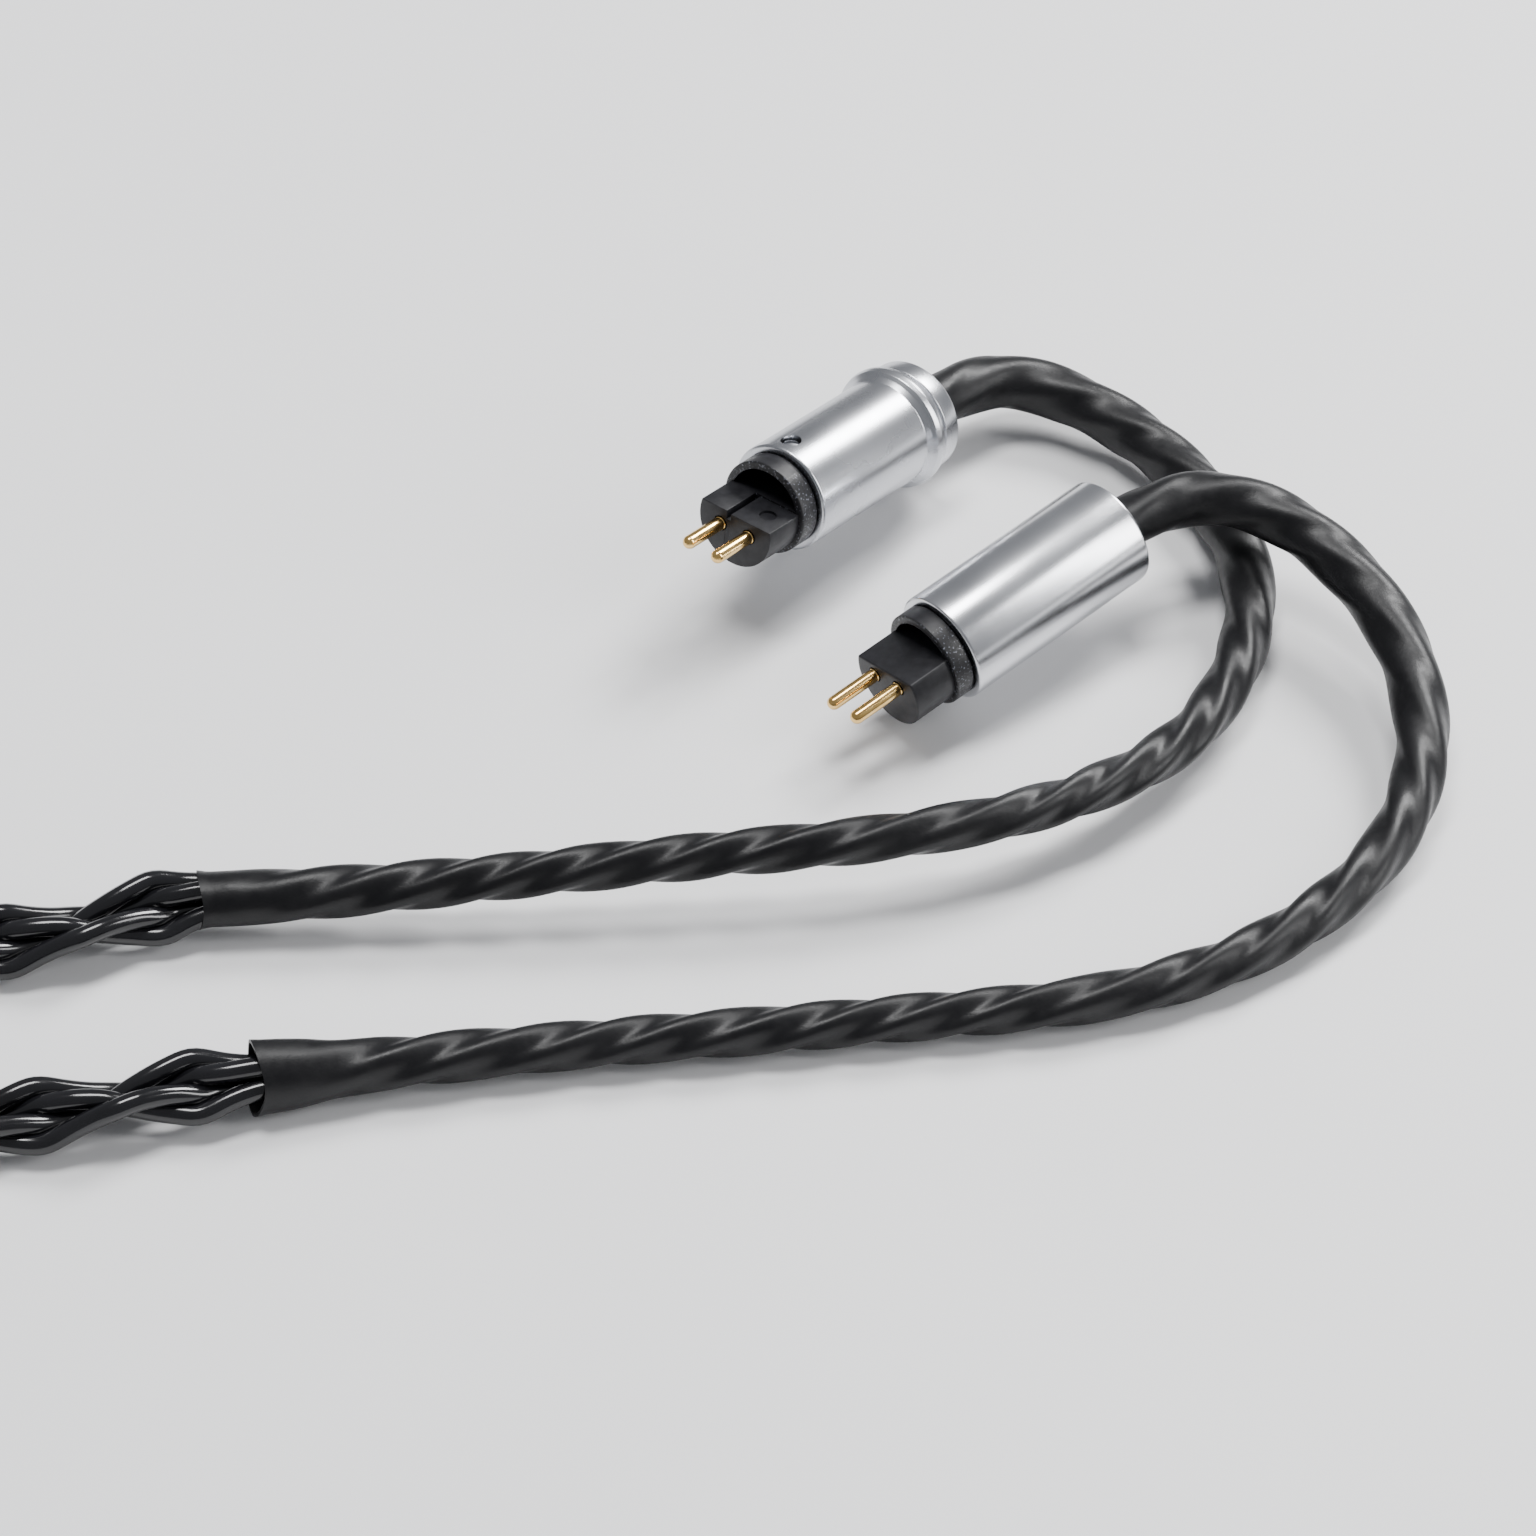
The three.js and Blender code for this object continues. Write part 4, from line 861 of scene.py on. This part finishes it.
# ribbed bush
pts = [(2.5, s1 + 2.5, 0.05), (3.9, s1 + 2.5, 0.12)]
for i in range(4):
    z, r = s1 + 3.2 + i * 1.05, 3.84 - i * 0.11
    pts += [(r, z, 0.08), (r - 0.45, z + 0.12, 0.08), (r - 0.47, z + 0.45, 0.08), (r - 0.04, z + 0.57, 0.08)]
pts += [(3.35, s1 + 7.5, 0.2), (2.5, s1 + 7.5, 0.1)]
v, f = loft(rounded(pts, closed=True, segs=3), closed=True, sides=72)
bush = build("splitter_boot", v, f, RUBBER, "root", trunk, ["splitter_bush"], 40.0)

# ------------------------------------------------------------------ main lead
pts = []
x_in = SPLIT[0] - s1 + 4.0
for x in np.arange(x_in, SPLIT[0] - s1 - 8.0, -2.0):
    pts.append((x, SPLIT[1], SPLIT[2]))
xa = SPLIT[0] - s1 - 8.5
out_y = COIL[1] + COIL_R + COIL_PACK_R
for k in np.linspace(0, 1, 12)[:-1]:
    w = float(smoothstep(k))
    pts.append((xa + (COIL[0] - xa) * k, SPLIT[1] + (out_y - SPLIT[1]) * w, SPLIT[2] + (COIL_MID_Z - SPLIT[2]) * w))
steps = int(COIL_TURNS * 72)
for i in range(steps + 1):
    q = COIL_TURNS * i / steps
    a, ps = math.pi / 2 + 2 * math.pi * q, math.radians(72) * q
    rho = COIL_R + COIL_PACK_R * math.cos(ps)
    pts.append((COIL[0] + rho * math.cos(a), COIL[1] + rho * math.sin(a), COIL_MID_Z + COIL_PACK_R * math.sin(ps)))
last = pts[-1]
xb = PLUG[0] - 10.5
for k in np.linspace(0, 1, 13)[1:]:
    w = float(smoothstep(k))
    pts.append((last[0] + (xb - last[0]) * k, last[1] + (PLUG[1] - last[1]) * w, last[2] + (PLUG[2] - last[2]) * w))
for x in np.arange(xb + 2.0, PLUG[0] + 3.4, 2.0):
    pts.append((x, PLUG[1], PLUG[2]))
main_p, main_s = even(pts, 0.55)
# a round braid of eight wires
rate = math.pi / 13.0
phase = math.pi / 8 + rate * main_s * 1.0 + 0.1 * wobble(main_s, 2.0, ((61.0, 0.6), (37.0, 0.4)))
verts, faces = [], []
t, up, sd = frames(main_p)
for hand in (1, -1):
    for k in range(4):
        a = hand * phase + k * math.pi / 2
        r = 1.29 + hand * 0.42 * np.cos(4 * phase)
        tube(main_p + r[:, None] * (np.cos(a)[:, None] * up + np.sin(a)[:, None] * sd), 0.49, 8, verts, faces)
main = build("main_braid", verts, faces, WIRE, "root", None, ["main_lead_start", "main_coil", "main_lead_end"], 60.0)

# ------------------------------------------------------------------ plug, local +Z along +X
plug = edge_on(PLUG, (0, -1, 0), (0, 0, -1), (1, 0, 0))
PB = PLUG_BARREL
pts = [(2.5, -9.5, 0.1), (3.0, -9.5, 0.2)]
for i in range(7):
    z, r = -8.6 + i * 1.1, 3.12 + i * 0.09
    pts += [(r, z, 0.08), (r - 0.4, z + 0.12, 0.08), (r - 0.38, z + 0.48, 0.08), (r + 0.04, z + 0.6, 0.08)]
pts += [(3.8, -0.25, 0.15), (2.5, -0.25, 0.05)]
v, f = loft(rounded(pts, closed=True, segs=3), closed=True, sides=72)
boot = build("plug_boot", v, f, RUBBER, "root", plug, ["plug_strain_relief"], 40.0)
pts = [(2.5, 0.0, 0.08), (4.0, 0.0, 0.3)]
for base in (1.6, 2.6, 3.6):
    pts += [(4.0, base, 0.04), (3.82, base + 0.1, 0.04), (3.82, base + 0.4, 0.04), (4.0, base + 0.5, 0.04)]
pts += [(4.0, PB - 1.5, 0.4), (3.4, PB, 0.12), (2.1, PB, 0.08), (2.1, PB - 1.2), (3.4, PB - 1.2), (3.4, 1.2), (2.5, 1.2)]
v, f = loft(rounded(pts, closed=True, segs=4), closed=True, sides=112)
build("plug_shell", v, f, ALU, "root", plug, ["plug_barrel"], 26.0)
parts = {
    "plug_sleeve_contact": ([(1.0, PB - 4.6), (3.1, PB - 4.6, 0.1), (3.1, PB - 1.4, 0.1), (1.75, PB - 1.4), (1.75, PB + 6.6, 0.05), (1.0, PB + 6.6)], GOLD, "plug_sleeve", "gold_contact"),
    "plug_band_1": ([(0.8, PB + 6.72), (1.72, PB + 6.72, 0.04), (1.72, PB + 7.38, 0.04), (0.8, PB + 7.38)], RING_BLACK, "plug_ring_insulator", "black_plastic"),
    "plug_ring_contact": ([(0.8, PB + 7.5), (1.75, PB + 7.5, 0.05), (1.75, PB + 9.6, 0.05), (0.8, PB + 9.6)], GOLD, "plug_ring", "gold_contact"),
    "plug_band_2": ([(0.8, PB + 9.72), (1.72, PB + 9.72, 0.04), (1.72, PB + 10.38, 0.04), (0.8, PB + 10.38)], RING_BLACK, "plug_tip_insulator", "black_plastic"),
}
for name, (pts, m, node, slot) in parts.items():
    v, f = loft(rounded(pts, closed=True), closed=True, sides=72)
    build(name, v, f, m, "root", plug, [node], 28.0)
v, f = loft(rounded([(0.0, PB - 4.6), (0.55, PB - 4.6, 0.05), (0.55, PB + 10.5), (1.75, PB + 10.5, 0.05), (1.75, PB + 11.0, 0.15), (1.15, PB + 11.9, 0.4),
                     (1.75, PB + 12.8, 0.25), (1.3, PB + 13.6, 0.3), (0.5, PB + 14.0, 0.2), (0.0, PB + 14.0)], segs=5), sides=72)
build("plug_tip_contact", v, f, GOLD, "root", plug, ["plug_tip"], 28.0)

# ------------------------------------------------------------------ CAD pieces that stay as they are
for n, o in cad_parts.items():
    if o.hide_render:
        continue
    o.data.materials.clear()
    o.data.materials.append(RUBBER if "bush" in n or "liner" in n else POTTING)
    shade(o.data, 30.0)


# ------------------------------------------------------------------ floor, lights, world
me = bpy.data.meshes.new("floor")
me.from_pydata([(-3, -3, 0), (3, -3, 0), (3, 3, 0), (-3, 3, 0)], [], [(0, 1, 2, 3)])
me.materials.append(FLOOR)
floor = bpy.data.objects.new("floor", me)
floor.location = (0, 0, -0.0002)
scene.collection.objects.link(floor)


def area(name, at, look, size, size_y, power, color=(1, 1, 1)):
    l = bpy.data.lights.new(name, "AREA")
    l.shape, l.size, l.size_y, l.energy, l.color = "RECTANGLE", size, size_y, power, color
    o = bpy.data.objects.new(name, l)
    o.location = at
    o.rotation_euler = (Vector(look) - Vector(at)).to_track_quat("-Z", "Y").to_euler()
    scene.collection.objects.link(o)
    return o


area("key", (0.30, 0.34, 0.42), (0.0, 0.0, 0.0), 0.22, 0.22, 5.0)
area("top", (-0.05, 0.10, 0.60), (0.0, 0.0, 0.0), 0.30, 0.16, 3.5)
area("strip", (0.45, -0.10, 0.25), (0.0, 0.0, 0.0), 0.10, 0.40, 1.6)
world = bpy.data.worlds.new("world")
world.use_nodes = True
world.node_tree.nodes["Background"].inputs["Color"].default_value = (0.80, 0.82, 0.86, 1)
world.node_tree.nodes["Background"].inputs["Strength"].default_value = 0.35
scene.world = world
